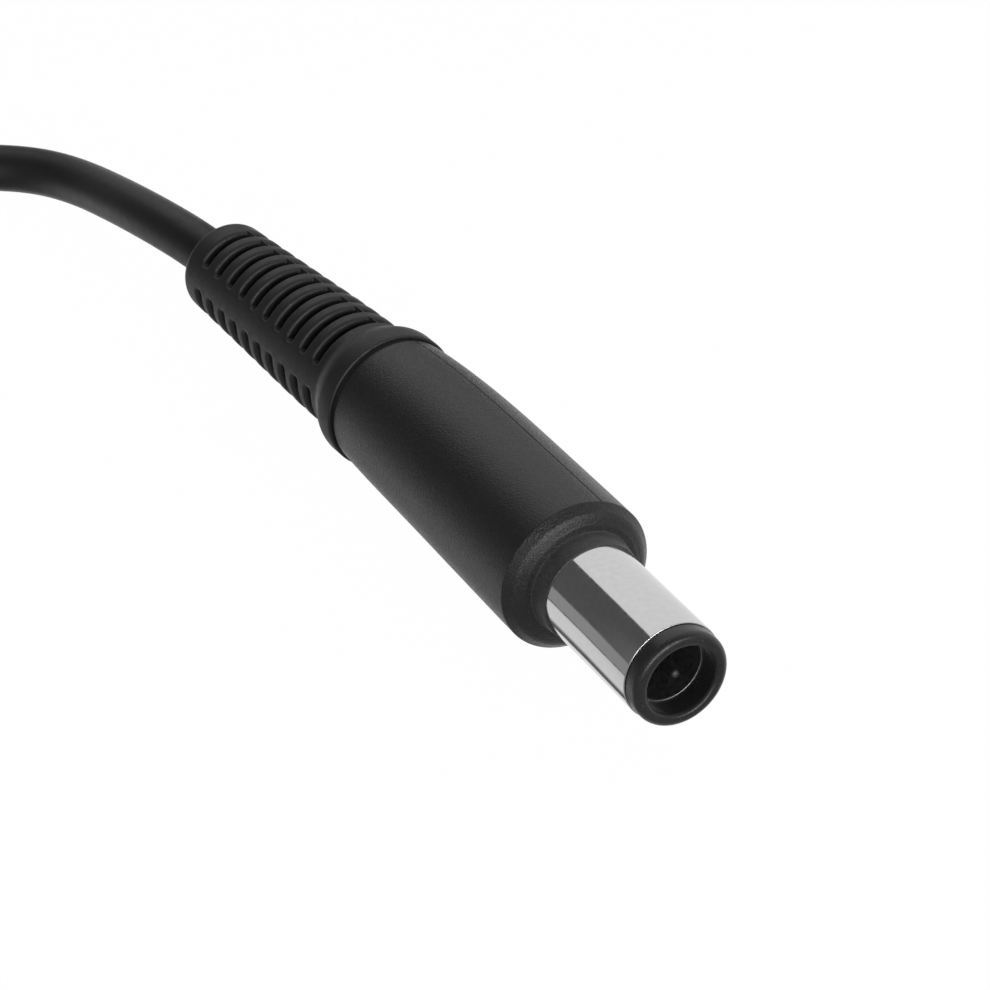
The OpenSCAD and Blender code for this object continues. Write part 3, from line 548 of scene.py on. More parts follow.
plugSize = {  # mm, stations along the plug from the boss's face
    "barrelRadius": 3.70,
    "barrelBore": 3.20,
    "barrelEnd": 10.34,
    "barrelBack": -3.0,
    "barrelEdge": 0.07,
    "ringRadius": 3.60,
    "ringFront": 11.75,
    "ringEdge": 0.55,
    "ringRearEdge": 0.06,
    "ringRear": 7.4,  # how far back it reaches inside the barrel
    "mouthRadius": 2.62,
    "mouthEdge": 0.36,
    "contactRadius": 2.75,
    "contactBore": 2.50,
    "contactFront": 9.89,
    "contactBack": -6.0,
    "contactEdge": 0.05,
    "pinRadius": 0.35,
    "pinTip": 10.95,
    "pinBack": -8.0,
    "bossRadius": 3.80,
    "bossFoot": 3.93,
    "bossEdge": 0.10,
    "bossBack": -4.0,
    # its foot swells towards the grip: how much, station
    "bossSwell": ((0.14, -1.75), (0.14, -1.60), (0.07, -1.53), (0.02, -1.43), (0.0, -1.28)),
    "gap": 0.03,  # between what fits together
}


def barrelProfile():
    p = plugSize
    outer, bore, end, back, edge = (p["barrel" + k] for k in ("Radius", "Bore", "End", "Back", "Edge"))
    return ([(bore, back), (outer, back), (outer, 0.4), (outer, end / 2)]
            + arcPoints(outer - edge, end - edge, edge, 0, 90, 6) + [(bore, end)])


def ringProfile():
    p = plugSize
    parts = ("Radius", "Front", "Edge", "RearEdge", "Rear")
    outer, front, edge, rearEdge, rear = (p["ring" + k] for k in parts)
    mouth, lip, gap, contact = p["mouthRadius"], p["mouthEdge"], p["gap"], p["contactRadius"]
    start, step, inBarrel = p["barrelEnd"] + gap, p["contactFront"] + gap, p["barrelBore"] - gap
    return (arcPoints(outer - rearEdge, start + rearEdge, rearEdge, -90, 0, 4)
            + arcPoints(outer - edge, front - edge, edge, 0, 90, 14)
            + arcPoints(mouth + lip, front - lip, lip, 90, 180, 10)
            + [(mouth, step), (contact, step), (contact + 0.02, rear), (inBarrel, rear), (inBarrel, start)])


def contactProfile():
    parts = ("Radius", "Bore", "Front", "Back", "Edge")
    outer, bore, front, back, edge = (plugSize["contact" + k] for k in parts)
    return ([(bore, back), (outer, back), (outer, front - 0.2)]
            + arcPoints(outer - edge, front - edge, edge, 0, 90, 3)
            + arcPoints(bore + edge, front - edge, edge, 90, 180, 3))


def pinProfile():
    radius, tip, back, flat = plugSize["pinRadius"], plugSize["pinTip"], plugSize["pinBack"], 0.02
    return [(radius, back), (radius, 0)] + arcPoints(flat, tip - radius, radius - flat, 0, 88, 8)


def bossProfile():
    p = plugSize
    outer, foot, edge, back, swell = (p["boss" + k] for k in ("Radius", "Foot", "Edge", "Back", "Swell"))
    inner = p["barrelRadius"] - 0.05
    return ([(inner, back), (foot + swell[0][0], back)] + [(foot + rise, station) for rise, station in swell]
            + arcPoints(outer - edge, -edge, edge, 0, 90, 6) + [(inner, 0.0)])


turned = (
    # name, profile, steps round, whether it is hollow, finish, slot, node
    ("plugBarrel", barrelProfile(), 256, True, "platedNickel", "nickel", "plug_barrel"),
    ("plugTipRing", ringProfile(), 256, True, "ringNylon", "insulator", "plug_tip_ring"),
    ("plugInnerContact", contactProfile(), 192, True, "boreTin", "nickel", "plug_inner_contact"),
    ("plugCentrePin", pinProfile(), 48, False, "pinSteel", "nickel", "plug_centre_pin"),
    ("plugInnerMould", bossProfile(), 192, True, "paintedLightPvc", "smooth_rubber", "plug_inner_mould"),
)
for name, profile, around, hollow, finish, slot, node in turned:
    mesh = finishMesh(turnedMesh(name, profile, around, hollow), onPlug)
    newPiece(name, mesh, made[finish], slot, node)


gripSize = {  # mm
    "front": -1.50,  # where the front face meets the boss
    "crease": (-2.60, 0.14),  # where the body ends and its corner's radius
    "chamfer": 44,  # degrees its normal is turned to the front beyond that
    # the rounding between the chamfer and the front face: from, corner, to; radius and station
    "rounding": ((5.24, -2.01), (5.12, -1.89), (4.85, -1.77)),
    "rear": -28.15,
    "radius": 5.74,  # at the crease
    "bodyStart": -4.40,  # where the body starts to thin towards the rear
    "bodyRadius": 5.735,
    "taper": 0.0095,  # mm of radius for each mm of length
    "rearFall": 0.30,  # how much more the rear end rounds in
    "rearFallLength": 22.6,
    "rearEdge": 0.20,
    "step": (4.42, 0.02),  # a fine step in the front face: radius, height
    "inside": 4.60,
    "insideFront": -3.30,
    "bossGap": 3.86,
    "bossGapBack": -2.70,
    "partingAngles": (69, 249),  # degrees round from the level side
    "partingWidth": 0.11,
    "partingDepth": 0.09,
}


def gripProfile():
    g = gripSize
    big, rear, (crease, corner), rounding = g["radius"], g["rear"], g["crease"], np.array(g["rounding"])

    def outer(station):
        x = max(g["bodyStart"] - station, 0)
        return g["bodyRadius"] - g["taper"] * x - g["rearFall"] * (x / g["rearFallLength"]) ** 5

    edge = arcPoints(big - corner, crease, corner, 0, g["chamfer"], 5)
    edge += [tuple(edge[-1] + (rounding[0] - edge[-1]) * t) for t in (0.03, 0.25, 0.5, 0.75, 0.97)]
    edge += [tuple(rounding[0] * (1 - t) ** 2 + rounding[1] * 2 * t * (1 - t) + rounding[2] * t * t)
             for t in np.linspace(0, 1, 11)]
    rim, rimStation = rounding[2]
    radius, height = g["step"]
    slope = (g["front"] - rimStation) / (rim - g["bossGap"])
    face = [(r, g["front"] - slope * (r - g["bossGap"]) + rise) for r, rise in (
        (radius + 0.14, 0.0), (radius + 0.08, height * 0.6), (radius + 0.02, height), (radius - 0.06, height),
        (radius - 0.16, height * 0.3), (4.0, 0.0), (g["bossGap"], 0.0))]
    behind = rear + g["rearEdge"]
    body = [(outer(s), s) for s in np.linspace(behind, crease, 32)[:-1]]
    back = arcPoints(outer(behind) - g["rearEdge"], behind, g["rearEdge"], -90, 0, 6)[:-1]
    inside = [(g["bossGap"], g["bossGapBack"]), (g["inside"], g["insideFront"]), (g["inside"], rear)]
    return back + body + edge + face + inside


def gripMesh():
    g = gripSize
    lines = [math.radians(90 + a) for a in g["partingAngles"]]
    half = g["partingWidth"] / 2 / g["radius"]
    even = np.linspace(0, 2 * math.pi, 180, endpoint=False)
    angles = np.array(denser(even, lines, (0, half * 0.5, half, half * 2), half * 0.3))
    mesh = turnedMesh("plugGrip", gripProfile(), angles)
    points = np.array([v.co for v in mesh.vertices])
    radii = np.hypot(points[:, 0], points[:, 1])
    turns = np.arctan2(points[:, 1], points[:, 0])
    depth = np.zeros(len(points))
    for line in lines:
        away = np.abs((turns - line + math.pi) % (2 * math.pi) - math.pi) * g["radius"]
        depth = np.maximum(depth, g["partingDepth"] * (1 - smoothStep(away / (g["partingWidth"] / 2))))
    outside = (radii > 4.9) & (points[:, 2] < g["crease"][0] + 0.03)
    points[outside, :2] *= (1 - depth[outside] / radii[outside])[:, None]
    mesh.vertices.foreach_set("co", points.ravel())
    return finishMesh(bend(mesh), onPlug, 40)


grip = newPiece("plugGrip", gripMesh(), made["grainedPvc"], "grip_rubber", "plug_grip")
print("plug turned")


def slotTree():
    # lengths in mm, angles in radians; the slots are in sectors round the tube, each alike either side of
    # its middle
    tree = bpy.data.node_groups.new("slotsRoundATube", "GeometryNodeTree")
    tree.is_modifier = True
    sockets = {"Geometry": "Geometry", "Count": "Int", "Sectors": "Int", "Front": "Float", "Pitch": "Float",
               "Width": "Float", "Turn": "Float", "Stagger": "Float", "Spine": "Float", "Flat": "Float",
               "End": "Float", "Floor": "Float", "Corner": "Float", "Round": "Float", "Steep": "Float",
               "Material": "Material"}
    for name, kind in sockets.items():
        tree.interface.new_socket(name=name, in_out="INPUT", socket_type="NodeSocket" + kind)
    tree.interface.new_socket(name="Geometry", in_out="OUTPUT", socket_type="NodeSocketGeometry")
    given = addNode(tree, "NodeGroupInput").outputs
    known = {name: given[name] for name in sockets}
    addNodes(tree, known, (("place", "GeometryNodeInputPosition", {}),
                           ("x y z", "ShaderNodeSeparateXYZ", {0: "place"})))
    addAlike(tree, known, "ShaderNodeMath", mathsKeys, (
        # which slot along, and how far outside its width
        ("fromFront", "SUBTRACT", "Front", "z"), ("pitches", "DIVIDE", "fromFront", "Pitch"),
        ("nearest", "ROUND", "pitches"), ("notBefore", "MAXIMUM", "nearest", 0),
        ("last", "SUBTRACT", "Count", 1), ("index", "MINIMUM", "notBefore", "last"),
        ("back", "MULTIPLY", "index", "Pitch"), ("middle", "SUBTRACT", "Front", "back"),
        ("fromMiddle", "SUBTRACT", "z", "middle"), ("along", "ABSOLUTE", "fromMiddle"),
        ("halfWidth", "MULTIPLY", "Width", 0.5), ("outside", "SUBTRACT", "along", "halfWidth"),
        # how far round from the middle of its sector
        ("half", "DIVIDE", math.pi, "Sectors"), ("odd", "MODULO", "index", 2),
        ("shift", "MULTIPLY", "Stagger", "odd"), ("turned", "ADD", "Turn", "shift"),
        ("bearing", "ARCTAN2", "y", "x"), ("angle", "SUBTRACT", "bearing", "turned"),
        ("minusHalf", "MULTIPLY", "half", -1), ("wrapped", "WRAP", "angle", "half", "minusHalf"),
        ("off", "ABSOLUTE", "wrapped"), ("xx", "MULTIPLY", "x", "x"), ("yy", "MULTIPLY", "y", "y"),
        ("rr", "ADD", "xx", "yy"), ("radius", "SQRT", "rr"), ("sine", "SINE", "off"),
        # how far outside the slot's outline, with its corners at the spine rounded
        ("aside", "MULTIPLY", "radius", "sine"), ("short", "SUBTRACT", "Spine", "aside"),
        ("wide", "ADD", "outside", "Corner"), ("end", "ADD", "short", "Corner"),
        ("past", "MAXIMUM", "wide", 0), ("over", "MAXIMUM", "end", 0),
        ("pastSquare", "MULTIPLY", "past", "past"), ("overSquare", "MULTIPLY", "over", "over"),
        ("farSquare", "ADD", "pastSquare", "overSquare"), ("far", "SQRT", "farSquare"),
        ("least", "MAXIMUM", "wide", "end"), ("inner", "MINIMUM", "least", 0),
        ("whole", "ADD", "far", "inner"), ("outline", "SUBTRACT", "whole", "Corner"),
        # the slot's bottom there: upright beside the spine, round, then rising to the slot's end
        ("softened", "MULTIPLY", "Round", 0.7), ("plane", "SUBTRACT", "Spine", "softened"),
        ("someSine", "MAXIMUM", "sine", 0.001), ("spine", "DIVIDE", "plane", "someSine"),
        ("height", "SUBTRACT", "radius", "Floor"),
    ))
    addAlike(tree, known, "ShaderNodeMapRange", rangeKeys, (("rise", "off", "Flat", "End"),))
    addAlike(tree, known, "ShaderNodeMath", mathsKeys, (
        ("climb", "MULTIPLY", "rise", "height"), ("ramp", "ADD", "Floor", "climb"),
        ("deep", "MAXIMUM", "spine", "ramp"),
        # the rim is rounded over, then falls steeply
        ("rounds", "DIVIDE", "outline", "Round"), ("closeness", "SUBTRACT", 1, "rounds"),
        ("notOver", "MINIMUM", "closeness", 1), ("near", "MAXIMUM", "notOver", 0),
        ("nearSquare", "MULTIPLY", "near", "near"), ("rest", "SUBTRACT", 1, "nearSquare"),
        ("root", "SQRT", "rest"), ("rim", "SUBTRACT", 1, "root"), ("inward", "MULTIPLY", "outline", -1),
        ("within", "MAXIMUM", "inward", 0), ("wall", "MULTIPLY", "within", "Steep"),
        ("rolled", "MULTIPLY", "rim", "Round"), ("lowered", "SUBTRACT", "radius", "rolled"),
        ("fallen", "SUBTRACT", "lowered", "wall"), ("bottom", "MAXIMUM", "deep", "fallen"),
        ("carved", "MINIMUM", "radius", "bottom"), ("scale", "DIVIDE", "carved", "radius"),
        ("newX", "MULTIPLY", "x", "scale"), ("newY", "MULTIPLY", "y", "scale"),
    ))
    addNodes(tree, known, (
        ("moved", "ShaderNodeCombineXYZ", {0: "newX", 1: "newY", 2: "z"}),
        ("shaped", "GeometryNodeSetPosition", {"Geometry": "Geometry", "Position": "moved"}),
        ("real", "GeometryNodeRealizeInstances", {0: "shaped"}),
        ("coated", "GeometryNodeSetMaterial", {"Geometry": "real", "Material": "Material"}),
        ("", "NodeGroupOutput", {0: "coated"})))
    return tree


def grown(name, mesh, tree, values):
    # runs the tree on the mesh and gives the result back as a plain mesh
    holder = bpy.data.objects.new(name + "Holder", mesh)
    bpy.context.scene.collection.objects.link(holder)
    modifier = holder.modifiers.new("grow", "NODES")
    modifier.node_group = tree
    for item in tree.interface.items_tree:
        if item.in_out == "INPUT" and item.name in values:
            modifier[item.identifier] = values[item.name]
    evaluated = holder.evaluated_get(bpy.context.evaluated_depsgraph_get())
    result = bpy.data.meshes.new_from_object(evaluated)
    holder.modifiers.remove(modifier)
    bpy.data.objects.remove(holder)
    result.name = name
    return result


def slotRows(slots, low, high, coarse):
    middles = [slots["Front"] - i * slots["Pitch"] for i in range(slots["Count"])]
    rims = [m + s * slots["Width"] / 2 for m in middles for s in (-1, 1)]
    rounding = [slots["Round"] * k for k in (0.0, 0.06, 0.16, 0.3, 0.5, 0.75, 1.0)]
    return denser(np.arange(low, high, coarse), rims, rounding, slots["Round"] * 0.05)


def slotAngles(slots, radius, coarse):
    steps = [slots["Flat"], slots["End"]]
    if slots["Spine"] > 0:
        steps += [math.asin(slots["Spine"] / radius), math.asin(slots["Spine"] / slots["Floor"])]
    middles = [slots["Turn"] + k * slots["Stagger"] + 2 * math.pi * i / slots["Sectors"]
               for i in range(slots["Sectors"]) for k in range(2)]
    rims = sorted({round((m + s * t) % (2 * math.pi), 4) for m in middles for t in steps for s in (-1, 1)})
    offsets = [math.radians(1.1 * k) for k in range(6)]
    return np.array([a for a in denser(np.linspace(0, 2 * math.pi, coarse, endpoint=False), rims, offsets,
                                       math.radians(0.6)) if 0 <= a < 2 * math.pi - math.radians(0.5)])


reliefSize = {  # mm, stations along the bent plug
    "spigotFront": -24.9,
    "spigotRadius": 4.35,
    "neckRadius": 4.94,
    "collarFront": -28.50,
    "collarRadius": 5.33,
    "collarEdge": (0.13, 0.09),  # chamfer of its front, inward and along
    "collarRear": -29.7,  # where the shoulder starts to fall
    "shoulderEnd": -31.9,
    # radius at stations behind the shoulder
    "length": ((-31.9, 4.50), (-33.4, 4.475), (-35.0, 4.45), (-38.0, 4.33), (-41.0, 4.185), (-44.0, 4.035),
               (-47.0, 3.89), (-51.8, 3.67)),
    "end": -52.9,
    "noseRadius": 2.5,
    "bore": 1.93,
}
reliefSlots = {"Count": 10, "Sectors": 2, "Front": -33.05, "Pitch": 1.885, "Width": 0.75,
               "Turn": math.radians(72), "Stagger": 0.0, "Spine": 1.05, "Flat": math.radians(81),
               "End": math.radians(89.4), "Floor": 2.35, "Corner": 0.34, "Round": 0.34, "Steep": 25.0}


def reliefProfile():
    r = reliefSize
    front, shoulder, tail = r["collarFront"], r["collarRear"], r["shoulderEnd"]
    stations, radii = zip(*reversed(r["length"]))

    def outer(station):
        if station > shoulder:
            return r["collarRadius"]
        if station > tail:
            u = (shoulder - station) / (shoulder - tail)
            return radii[-1] + (r["collarRadius"] - radii[-1]) * math.cos(math.pi / 2 * u) ** 1.4
        return float(np.interp(station, stations, radii))

    turns = [math.radians(90 - 6 * i) for i in range(15)]
    nose = [(r["noseRadius"] + (radii[0] - r["noseRadius"]) * math.cos(a),
             stations[0] - (stations[0] - r["end"]) * math.sin(a)) for a in turns]
    length = [(outer(s), s) for s in slotRows(reliefSlots, stations[0], shoulder - 0.02, 0.2)]
    edge = r["collarEdge"]
    top, inward, back = r["collarRadius"], edge[0], front - edge[1]
    collar = [(top, back - 0.05), (top - 0.01, back - 0.01), (top - 0.03, back + 0.02), (top - inward, front),
              (top - inward - 0.03, front)]
    return ([(r["bore"], r["end"])] + nose + length + collar
            + [(r["neckRadius"] + 0.04, front - 0.02), (r["neckRadius"], front + 0.04),
               (r["neckRadius"], front + 0.4), (r["spigotRadius"], front + 0.41),
               (r["spigotRadius"], r["spigotFront"]), (r["bore"], r["spigotFront"])])


slots = slotTree()
reliefBase = turnedMesh("reliefBase", reliefProfile(), slotAngles(reliefSlots, 4.1, 150))
reliefMesh = grown("plugStrainRelief", reliefBase, slots, dict(reliefSlots, Material=made["smoothPvc"]))
relief = newPiece("plugStrainRelief", finishMesh(bend(reliefMesh), onPlug, 50), made["smoothPvc"],
                  "smooth_rubber", "plug_strain_relief")
print("relief slotted, faces", len(relief.data.polygons))


glandSize = {  # mm, stations are x on the table
    "height": 15.6,
    "end": -77.0,
    "tipRadius": 3.2,
    "nose": 0.9,  # its rounding
    "neckRadius": 5.5,
    "neckEnd": -56.2,
    "fillet": (0.8, 0.55),  # where the rim begins: outward and along
    "rimRadius": 6.3,
    "rimEdge": 0.3,
    "case": -54.0,
    "throat": 5.35,  # radius where it passes the case's wall
    "flange": (7.0, -51.77, -50.27),  # inside the case: radius, from, to
    "bore": 1.93,
}
glandSlots = {"Count": 7, "Sectors": 2, "Front": -59.88, "Pitch": 2.429, "Width": 1.0, "Turn": 0.0,
              "Stagger": math.radians(90), "Spine": -10.0, "Flat": math.radians(52), "End": math.radians(60),
              "Floor": 2.6, "Corner": 0.3, "Round": 0.3, "Steep": 25.0}


def glandProfile():
    g = glandSize
    tip, end, case, noseSize, edge = g["tipRadius"], g["end"], g["case"], g["nose"], g["rimEdge"]
    start, back = end + noseSize, g["neckEnd"]
    slope = (g["neckRadius"] - tip) / (back - start)
    nose = [(tip - noseSize + noseSize * math.sin(a), start - noseSize * math.cos(a))
            for a in np.linspace(0, math.pi / 2, 10)]
    cone = [(tip + slope * (s - start), s) for s in slotRows(glandSlots, start + 0.1, back, 0.4)]
    out, along = g["fillet"]
    fillet = [(g["neckRadius"] + out - out * math.cos(a), back + along * math.sin(a))
              for a in np.linspace(0.2, math.pi / 2, 5)]
    rim = arcPoints(g["rimRadius"] - edge, case - edge, edge, 0, 90, 5)
    radius, low, high = g["flange"]
    return ([(g["bore"], end)] + nose + cone + fillet + rim
            + [(g["throat"], case), (g["throat"], low), (radius, low), (radius, high), (g["bore"], high)])


glandPlace = (Matrix.Translation((0, 0, glandSize["height"] * mm)) @ Matrix.Rotation(math.radians(90), 4, "Y")
              @ Matrix.Scale(mm, 4))
glandBase = turnedMesh("glandBase", glandProfile(), slotAngles(glandSlots, 4.4, 150))
glandMesh = grown("cordGland", glandBase, slots, dict(glandSlots, Material=made["smoothPvc"]))
gland = newPiece("cordGland", finishMesh(glandMesh, glandPlace, 50), made["smoothPvc"],
                 "smooth_rubber", "cord_gland")
print("gland slotted, faces", len(gland.data.polygons))


strapSize = {  # mm
    "width": 12.0,
    "thick": 0.70,
    "edge": 0.18,  # rounding of its edges
    "turn": 205.0,  # degrees round the coil
    "across": (11.59, 30.70),  # inside of the loop, from the coil's centre
    "up": (0.70, 17.85),  # inside of the loop, above the table
    "corner": 1.25,  # bend radius of its middle
    "lap": 14.0,  # how far it lies on itself
    "lift": 2.5,  # length over which it climbs on itself
    "gap": 0.04,  # air under the part that lies on it
    "start": 2.0,  # how far past its corner it starts
    "endRadius": 3.0,  # rounding of its ends, seen from above
    "step": 0.35,  # length between its rows of faces
}


def strapLine():
    # the strap's middle: distance from the coil's centre and height, and how far along it is
    half, r = strapSize["thick"] / 2, strapSize["corner"]
    near, far = strapSize["across"][0] - half, strapSize["across"][1] + half
    low, high = strapSize["up"][0] - half, strapSize["up"][1] + half
    tail = near + r + strapSize["start"]
    corners = [((far - r, high - r), 90, 0), ((far - r, low + r), 0, -90), ((near + r, low + r), -90, -180),
               ((near + r, high - r), 180, 90)]
    points = [(tail, high)]
    for (x, y), start, end in corners:
        points += arcPoints(x, y, r, start, end, 8)
    points.append((tail + strapSize["lap"], high))
    points = np.array(points)
    lengths = np.concatenate([[0], np.cumsum(np.linalg.norm(np.diff(points, axis=0), axis=1))])
    even = np.arange(0, lengths[-1], strapSize["step"])
    even[-1] = lengths[-1]
    line = np.stack([np.interp(even, lengths, points[:, k]) for k in range(2)], 1)
    lapped = even - (lengths[-1] - strapSize["lap"] - strapSize["lift"])
    line[:, 1] += (strapSize["thick"] + strapSize["gap"]) * smoothStep(lapped / strapSize["lift"])
    return line, even


def strapMesh():
    line, lengths = strapLine()
    tangents = np.gradient(line, axis=0)
    tangents /= np.linalg.norm(tangents, axis=1)[:, None]
    normals = np.stack([-tangents[:, 1], tangents[:, 0]], 1)
    half, thick, edge = strapSize["width"] / 2, strapSize["thick"] / 2, strapSize["edge"]
    across = []  # section: across the strap and through its thickness
    for (x, y), start in (((1, 1), 0), ((-1, 1), 90), ((-1, -1), 180), ((1, -1), 270)):
        turns = np.radians(np.linspace(start, start + 90, 4))
        across += [(x, y, math.cos(t) * edge, math.sin(t) * edge) for t in turns]
    inner = np.linspace(-0.9, 0.9, 13)
    top = [(k, 1, 0, edge) for k in inner[::-1]]
    bottom = [(k, -1, 0, -edge) for k in inner]
    ring = across[:4] + top + across[4:12] + bottom + across[12:]
    fromEnd = np.minimum(lengths, lengths[-1] - lengths)
    cut = strapSize["endRadius"]
    narrow = np.where(fromEnd < cut, cut - np.sqrt(np.maximum(cut ** 2 - (cut - fromEnd) ** 2, 0)), 0)
    points, labels = [], []
    for (u, z), (nu, nz), along, less in zip(line, normals, lengths, narrow):
        for x, y, dx, dy in ring:
            side = x * (half - edge - less) + dx
            deep = y * (thick - edge) + dy
            points.append((u + nu * deep, -side, z + nz * deep))
            labels.append((along * mm, side * mm, deep * mm))
    count = len(ring)
    faces = []
    for i in range(len(line) - 1):
        a, b = i * count, (i + 1) * count
        faces += [(a + j, a + (j + 1) % count, b + (j + 1) % count, b + j) for j in range(count)]
    faces += [tuple(reversed(range(count))), tuple(range((len(line) - 1) * count, len(line) * count))]
    mesh = bpy.data.meshes.new("cordTie")
    mesh.from_pydata(points, [], faces)
    label = mesh.attributes.new("strap", "FLOAT_VECTOR", "POINT")
    label.data.foreach_set("vector", np.array(labels).ravel())
    fixer = bmesh.new()
    fixer.from_mesh(mesh)
    bmesh.ops.recalc_face_normals(fixer, faces=fixer.faces)
    fixer.to_mesh(mesh)
    fixer.free()
    return mesh


coilPlace = (Matrix.Translation((cordSize["coilCentre"][0] * mm, cordSize["coilCentre"][1] * mm, 0))
             @ Matrix.Rotation(math.radians(strapSize["turn"]), 4, "Z") @ Matrix.Scale(mm, 4))
tie = newPiece("cordTie", finishMesh(strapMesh(), coilPlace, 60), made["wovenNylon"],
               "tie_fabric", "cord_tie")
print("strap sewn, faces", len(tie.data.polygons))


# pieces that keep the shapes of their nodes, with softer edges
kept = {
    # node: (finish, slot, width of the edges' rounding in mm, sharp angle)
    "case_base": ("casePolycarbonate", "case_plastic", 0, 40),
    "case_lid": ("casePolycarbonate", "case_plastic", 0, 40),
    "rubber_feet": ("footSilicone", "foot_rubber", 0.25, 40),
    "mains_inlet": ("inletPbt", "inlet_plastic", 0.0, 30),
    "inlet_pins": ("dullTin", "tin", 0.35, 40),
    "light_pipe": ("frostedAcrylic", "light_guide", 0.12, 40),
}


def softened(node, width, sharpAngle):
    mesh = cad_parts[node].data.copy()
    work = bmesh.new()
    work.from_mesh(mesh)
    bmesh.ops.remove_doubles(work, verts=work.verts, dist=1e-6)
    bmesh.ops.dissolve_limit(work, angle_limit=math.radians(0.5), verts=work.verts, edges=work.edges)
    if width:
        sharp = [e for e in work.edges if e.is_manifold and e.calc_face_angle() > math.radians(50)]
        bmesh.ops.bevel(work, geom=sharp, offset=width * mm, offset_type="OFFSET", segments=3, profile=0.5,
                        affect="EDGES", clamp_overlap=True)
    work.to_mesh(mesh)
    work.free()
    holder = bpy.data.objects.new("holder", finishMesh(mesh, Matrix.Identity(4), sharpAngle))
    bpy.context.scene.collection.objects.link(holder)
    # flat faces stay flat beside round ones
    holder.modifiers.new("weigh", "WEIGHTED_NORMAL").keep_sharp = True
    result = bpy.data.meshes.new_from_object(holder.evaluated_get(bpy.context.evaluated_depsgraph_get()))
    bpy.data.objects.remove(holder)
    result.name = node
    return result


for node, (finish, slot, width, sharpAngle) in kept.items():
    newPiece(node + "Piece", softened(node, width, sharpAngle), made[finish], slot, node)
print("case pieces softened:", len(kept))

nodeFinishes = {
    "naturalNylon": ("plug_core_sleeve",),
    "inletPbt": ("plug_pin_bush",),
    "dullTin": ("plug_wires", "plug_cable_ferrule"),
    "lensEpoxy": ("status_led",),
    "solderMask": ("circuit_board",),
    "fibreSheet": ("insulation_sheet",),
    "brownCap": ("fuse",),
    "greenDip": ("thermistor",),
    "yellowBox": ("mains_capacitor",),
    "coatedFerrite": ("choke_core",),
    "enamelledWire": ("choke_winding", "output_choke"),
    "bigCanSleeve": ("bulk_capacitor",),
    "smallCanSleeve": ("output_capacitors",),
    "sinteredFerrite": ("transformer_core",),
    "tapedWinding": ("transformer_winding",),
    "deviceEpoxy": ("bridge_rectifier", "switching_transistor", "output_rectifier", "control_chip"),
    "millAluminium": ("primary_heatsink", "secondary_heatsink", "heat_spreader"),
    "blueDip": ("safety_capacitor",),
    "creamEpoxy": ("optocoupler",),
    "leadJacket": ("output_wires",),
}
for finish, nodes in nodeFinishes.items():
    for node in nodes:
        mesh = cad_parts[node].data
        mesh.materials.clear()
        mesh.materials.append(made[finish])
print("inner parts finished:", sum(len(nodes) for nodes in nodeFinishes.values()))


studio = {  # how bright each part of the room is, as a share of white
    "backdrop": 0.92,  # behind and above, to the right of the edge
    "backdropEdge": -0.517,  # x of the direction where the backdrop ends
    "soft": 0.012,  # half the width over which such an edge goes
    "left": 0.105,  # the dark side of the room
    "table": 0.36,  # just under the horizon
    "tableEdge": -0.33,  # z of the direction where the bright sheet begins
    "edgeLine": 0.12,  # the dark line along that edge
    "edgeLineWide": 0.03,
    "sheet": 0.86,  # the sheet under the object
    "fold": 0.13,  # a dark fold low behind: level, then x from, to
    "foldSpan": (-0.56, -0.37),
    "front": 0.30,
    "overhead": 0.10,  # above the front, over the strip
    "strip": 9.0,  # the long light above the front, bent down at its left end
    "stripHeight": 0.37,  # z of its middle, and its half width
    "stripHalf": 0.11,
    "stripBend": (0.34, 0.5),  # x where it bends, and how steeply
    "stripEnds": (-0.40, 0.15, 0.50, 0.95),  # x where it begins, is full, fades and ends
}


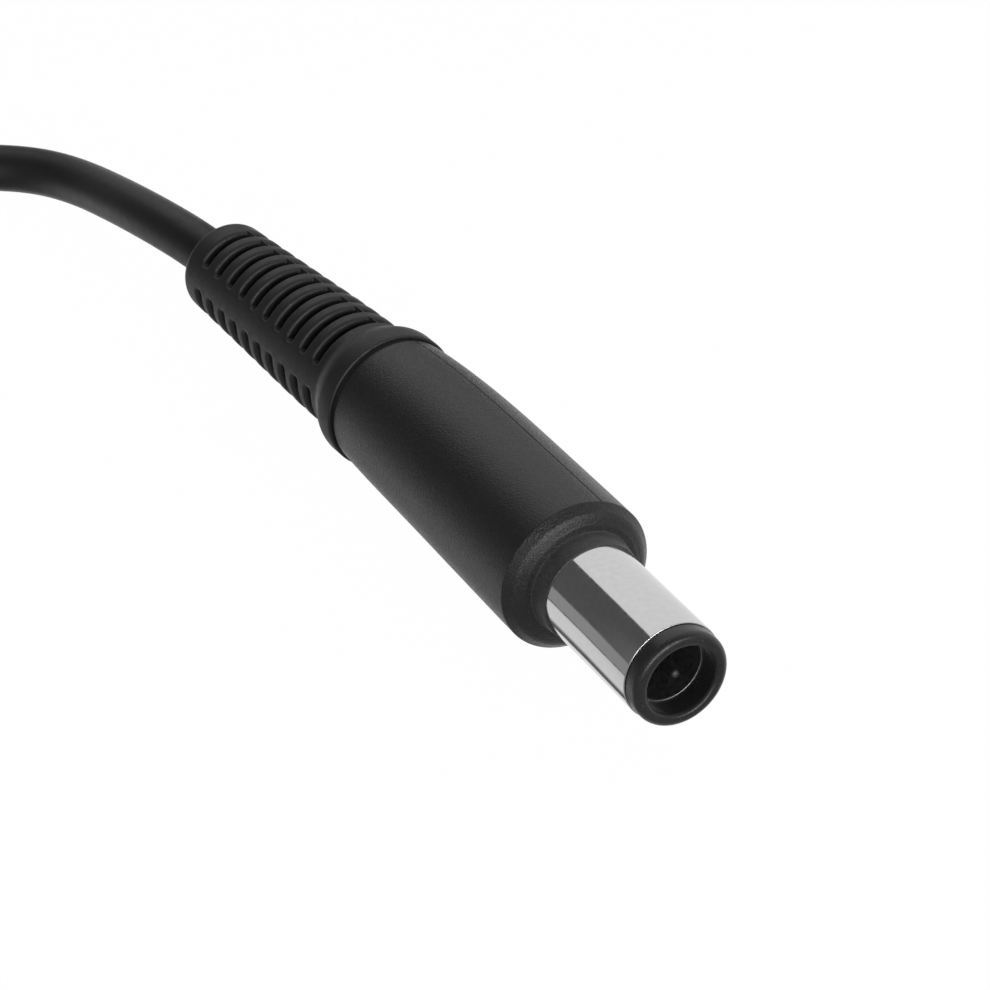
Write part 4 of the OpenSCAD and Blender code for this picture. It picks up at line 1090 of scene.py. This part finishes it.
def buildWorld():
    world = bpy.data.worlds.new("studio")
    bpy.context.scene.world = world
    world.use_nodes = True
    tree = world.node_tree
    tree.nodes.clear()
    known = {"direction": addNode(tree, "ShaderNodeTexCoord").outputs["Generated"],
             "toCamera": addNode(tree, "ShaderNodeLightPath").outputs["Is Camera Ray"]}
    addNodes(tree, known, (("x y z", "ShaderNodeSeparateXYZ", {0: "direction"}),))
    s = studio
    side, table, soft = s["backdropEdge"], s["tableEdge"], s["soft"]
    line, (foldStart, foldEnd), half = table + s["edgeLineWide"], s["foldSpan"], s["stripHalf"]
    corner, steep = s["stripBend"]
    start, full, fade, end = s["stripEnds"]
    addAlike(tree, known, "ShaderNodeMath", mathsKeys, (
        ("fromCorner", "SUBTRACT", corner, "x"), ("short", "MAXIMUM", "fromCorner", 0),
        ("fallen", "MULTIPLY", "short", steep), ("middle", "SUBTRACT", s["stripHeight"], "fallen"),
        ("offMiddle", "SUBTRACT", "z", "middle"), ("away", "ABSOLUTE", "offMiddle")))
    # each is 0 up to the first value and 1 from the second
    addAlike(tree, known, "ShaderNodeMapRange", rangeKeys, (
        ("right", "x", side - soft, side + soft), ("behind", "y", -0.2, 0.35), ("above", "z", 0.0, 0.04),
        ("onSheet", "z", table + soft, table - soft), ("underLine", "z", line + soft, line - soft),
        ("inFold", "x", foldStart - 0.07, foldStart + 0.07),
        ("beforeEnd", "x", foldEnd + 0.02, foldEnd - 0.02), ("foldLow", "z", -0.55, -0.62),
        ("high", "z", 0.5, 0.7), ("near", "away", half + 0.05, half - 0.05),
        ("inFront", "y", 0.0, -0.15), ("begun", "x", start, full), ("notOver", "x", end, fade)),
        interpolation_type="SMOOTHSTEP")
    addAlike(tree, known, "ShaderNodeMath", mathsKeys, (
        ("foldWide", "MULTIPLY", "inFold", "beforeEnd"), ("fold", "MULTIPLY", "foldWide", "foldLow"),
        ("stripWide", "MULTIPLY", "near", "inFront"), ("stripLeft", "MULTIPLY", "stripWide", "begun"),
        ("strip", "MULTIPLY", "stripLeft", "notOver")))
    # each goes from the first level to the second with its share
    addAlike(tree, known, "ShaderNodeMix", (0, 2, 3), (
        ("table", "underLine", s["table"], s["edgeLine"]), ("low", "onSheet", "table", s["sheet"]),
        ("left", "above", "low", s["left"]), ("wall", "right", "left", s["backdrop"]),
        ("back", "fold", "wall", s["fold"]), ("front", "high", s["front"], s["overhead"]),
        ("lamp", "strip", "front", s["strip"]), ("level", "behind", "lamp", "back")), data_type="FLOAT")
    addNodes(tree, known, (
        ("lit", "ShaderNodeBackground", {"Color": (1, 1, 1, 1), "Strength": "level"}),
        ("white", "ShaderNodeBackground", {"Color": (1, 1, 1, 1), "Strength": 1.0}),
        ("shown", "ShaderNodeMixShader", {0: "toCamera", 1: "lit", 2: "white"}),
        ("", "ShaderNodeOutputWorld", {0: "shown"})))


floorSize = {"half": 6.0, "seen": 0.992}  # metres from the middle to a side; how white it is to the eye


def buildFloor():
    mesh = bpy.data.meshes.new("floor")
    half = floorSize["half"]
    corners = [(-half, -half, 0), (half, -half, 0), (half, half, 0), (-half, half, 0)]
    mesh.from_pydata(corners, [], [(0, 1, 2, 3)])
    floor = bpy.data.objects.new("floor", mesh)
    bpy.context.scene.collection.objects.link(floor)
    floor.visible_glossy = False  # gloss looks through to the room's own lower half
    material = bpy.data.materials.new("whitePaper")
    material.use_nodes = True
    tree = material.node_tree
    tree.nodes.clear()
    known = {"toCamera": addNode(tree, "ShaderNodeLightPath").outputs["Is Camera Ray"]}
    addNodes(tree, known, (
        ("matt", "ShaderNodeBsdfDiffuse", {"Color": (0.85, 0.85, 0.85, 1)}),
        ("glow", "ShaderNodeEmission", {"Color": (1, 1, 1, 1), "Strength": 1.0}),
        ("seen", "ShaderNodeMath", {"operation": "MULTIPLY", 0: "toCamera", 1: floorSize["seen"]}),
        ("paper", "ShaderNodeMixShader", {0: "seen", 1: "matt", 2: "glow"}),
        ("", "ShaderNodeOutputMaterial", {0: "paper"})))
    mesh.materials.append(material)


buildWorld()
buildFloor()
print("studio lit")
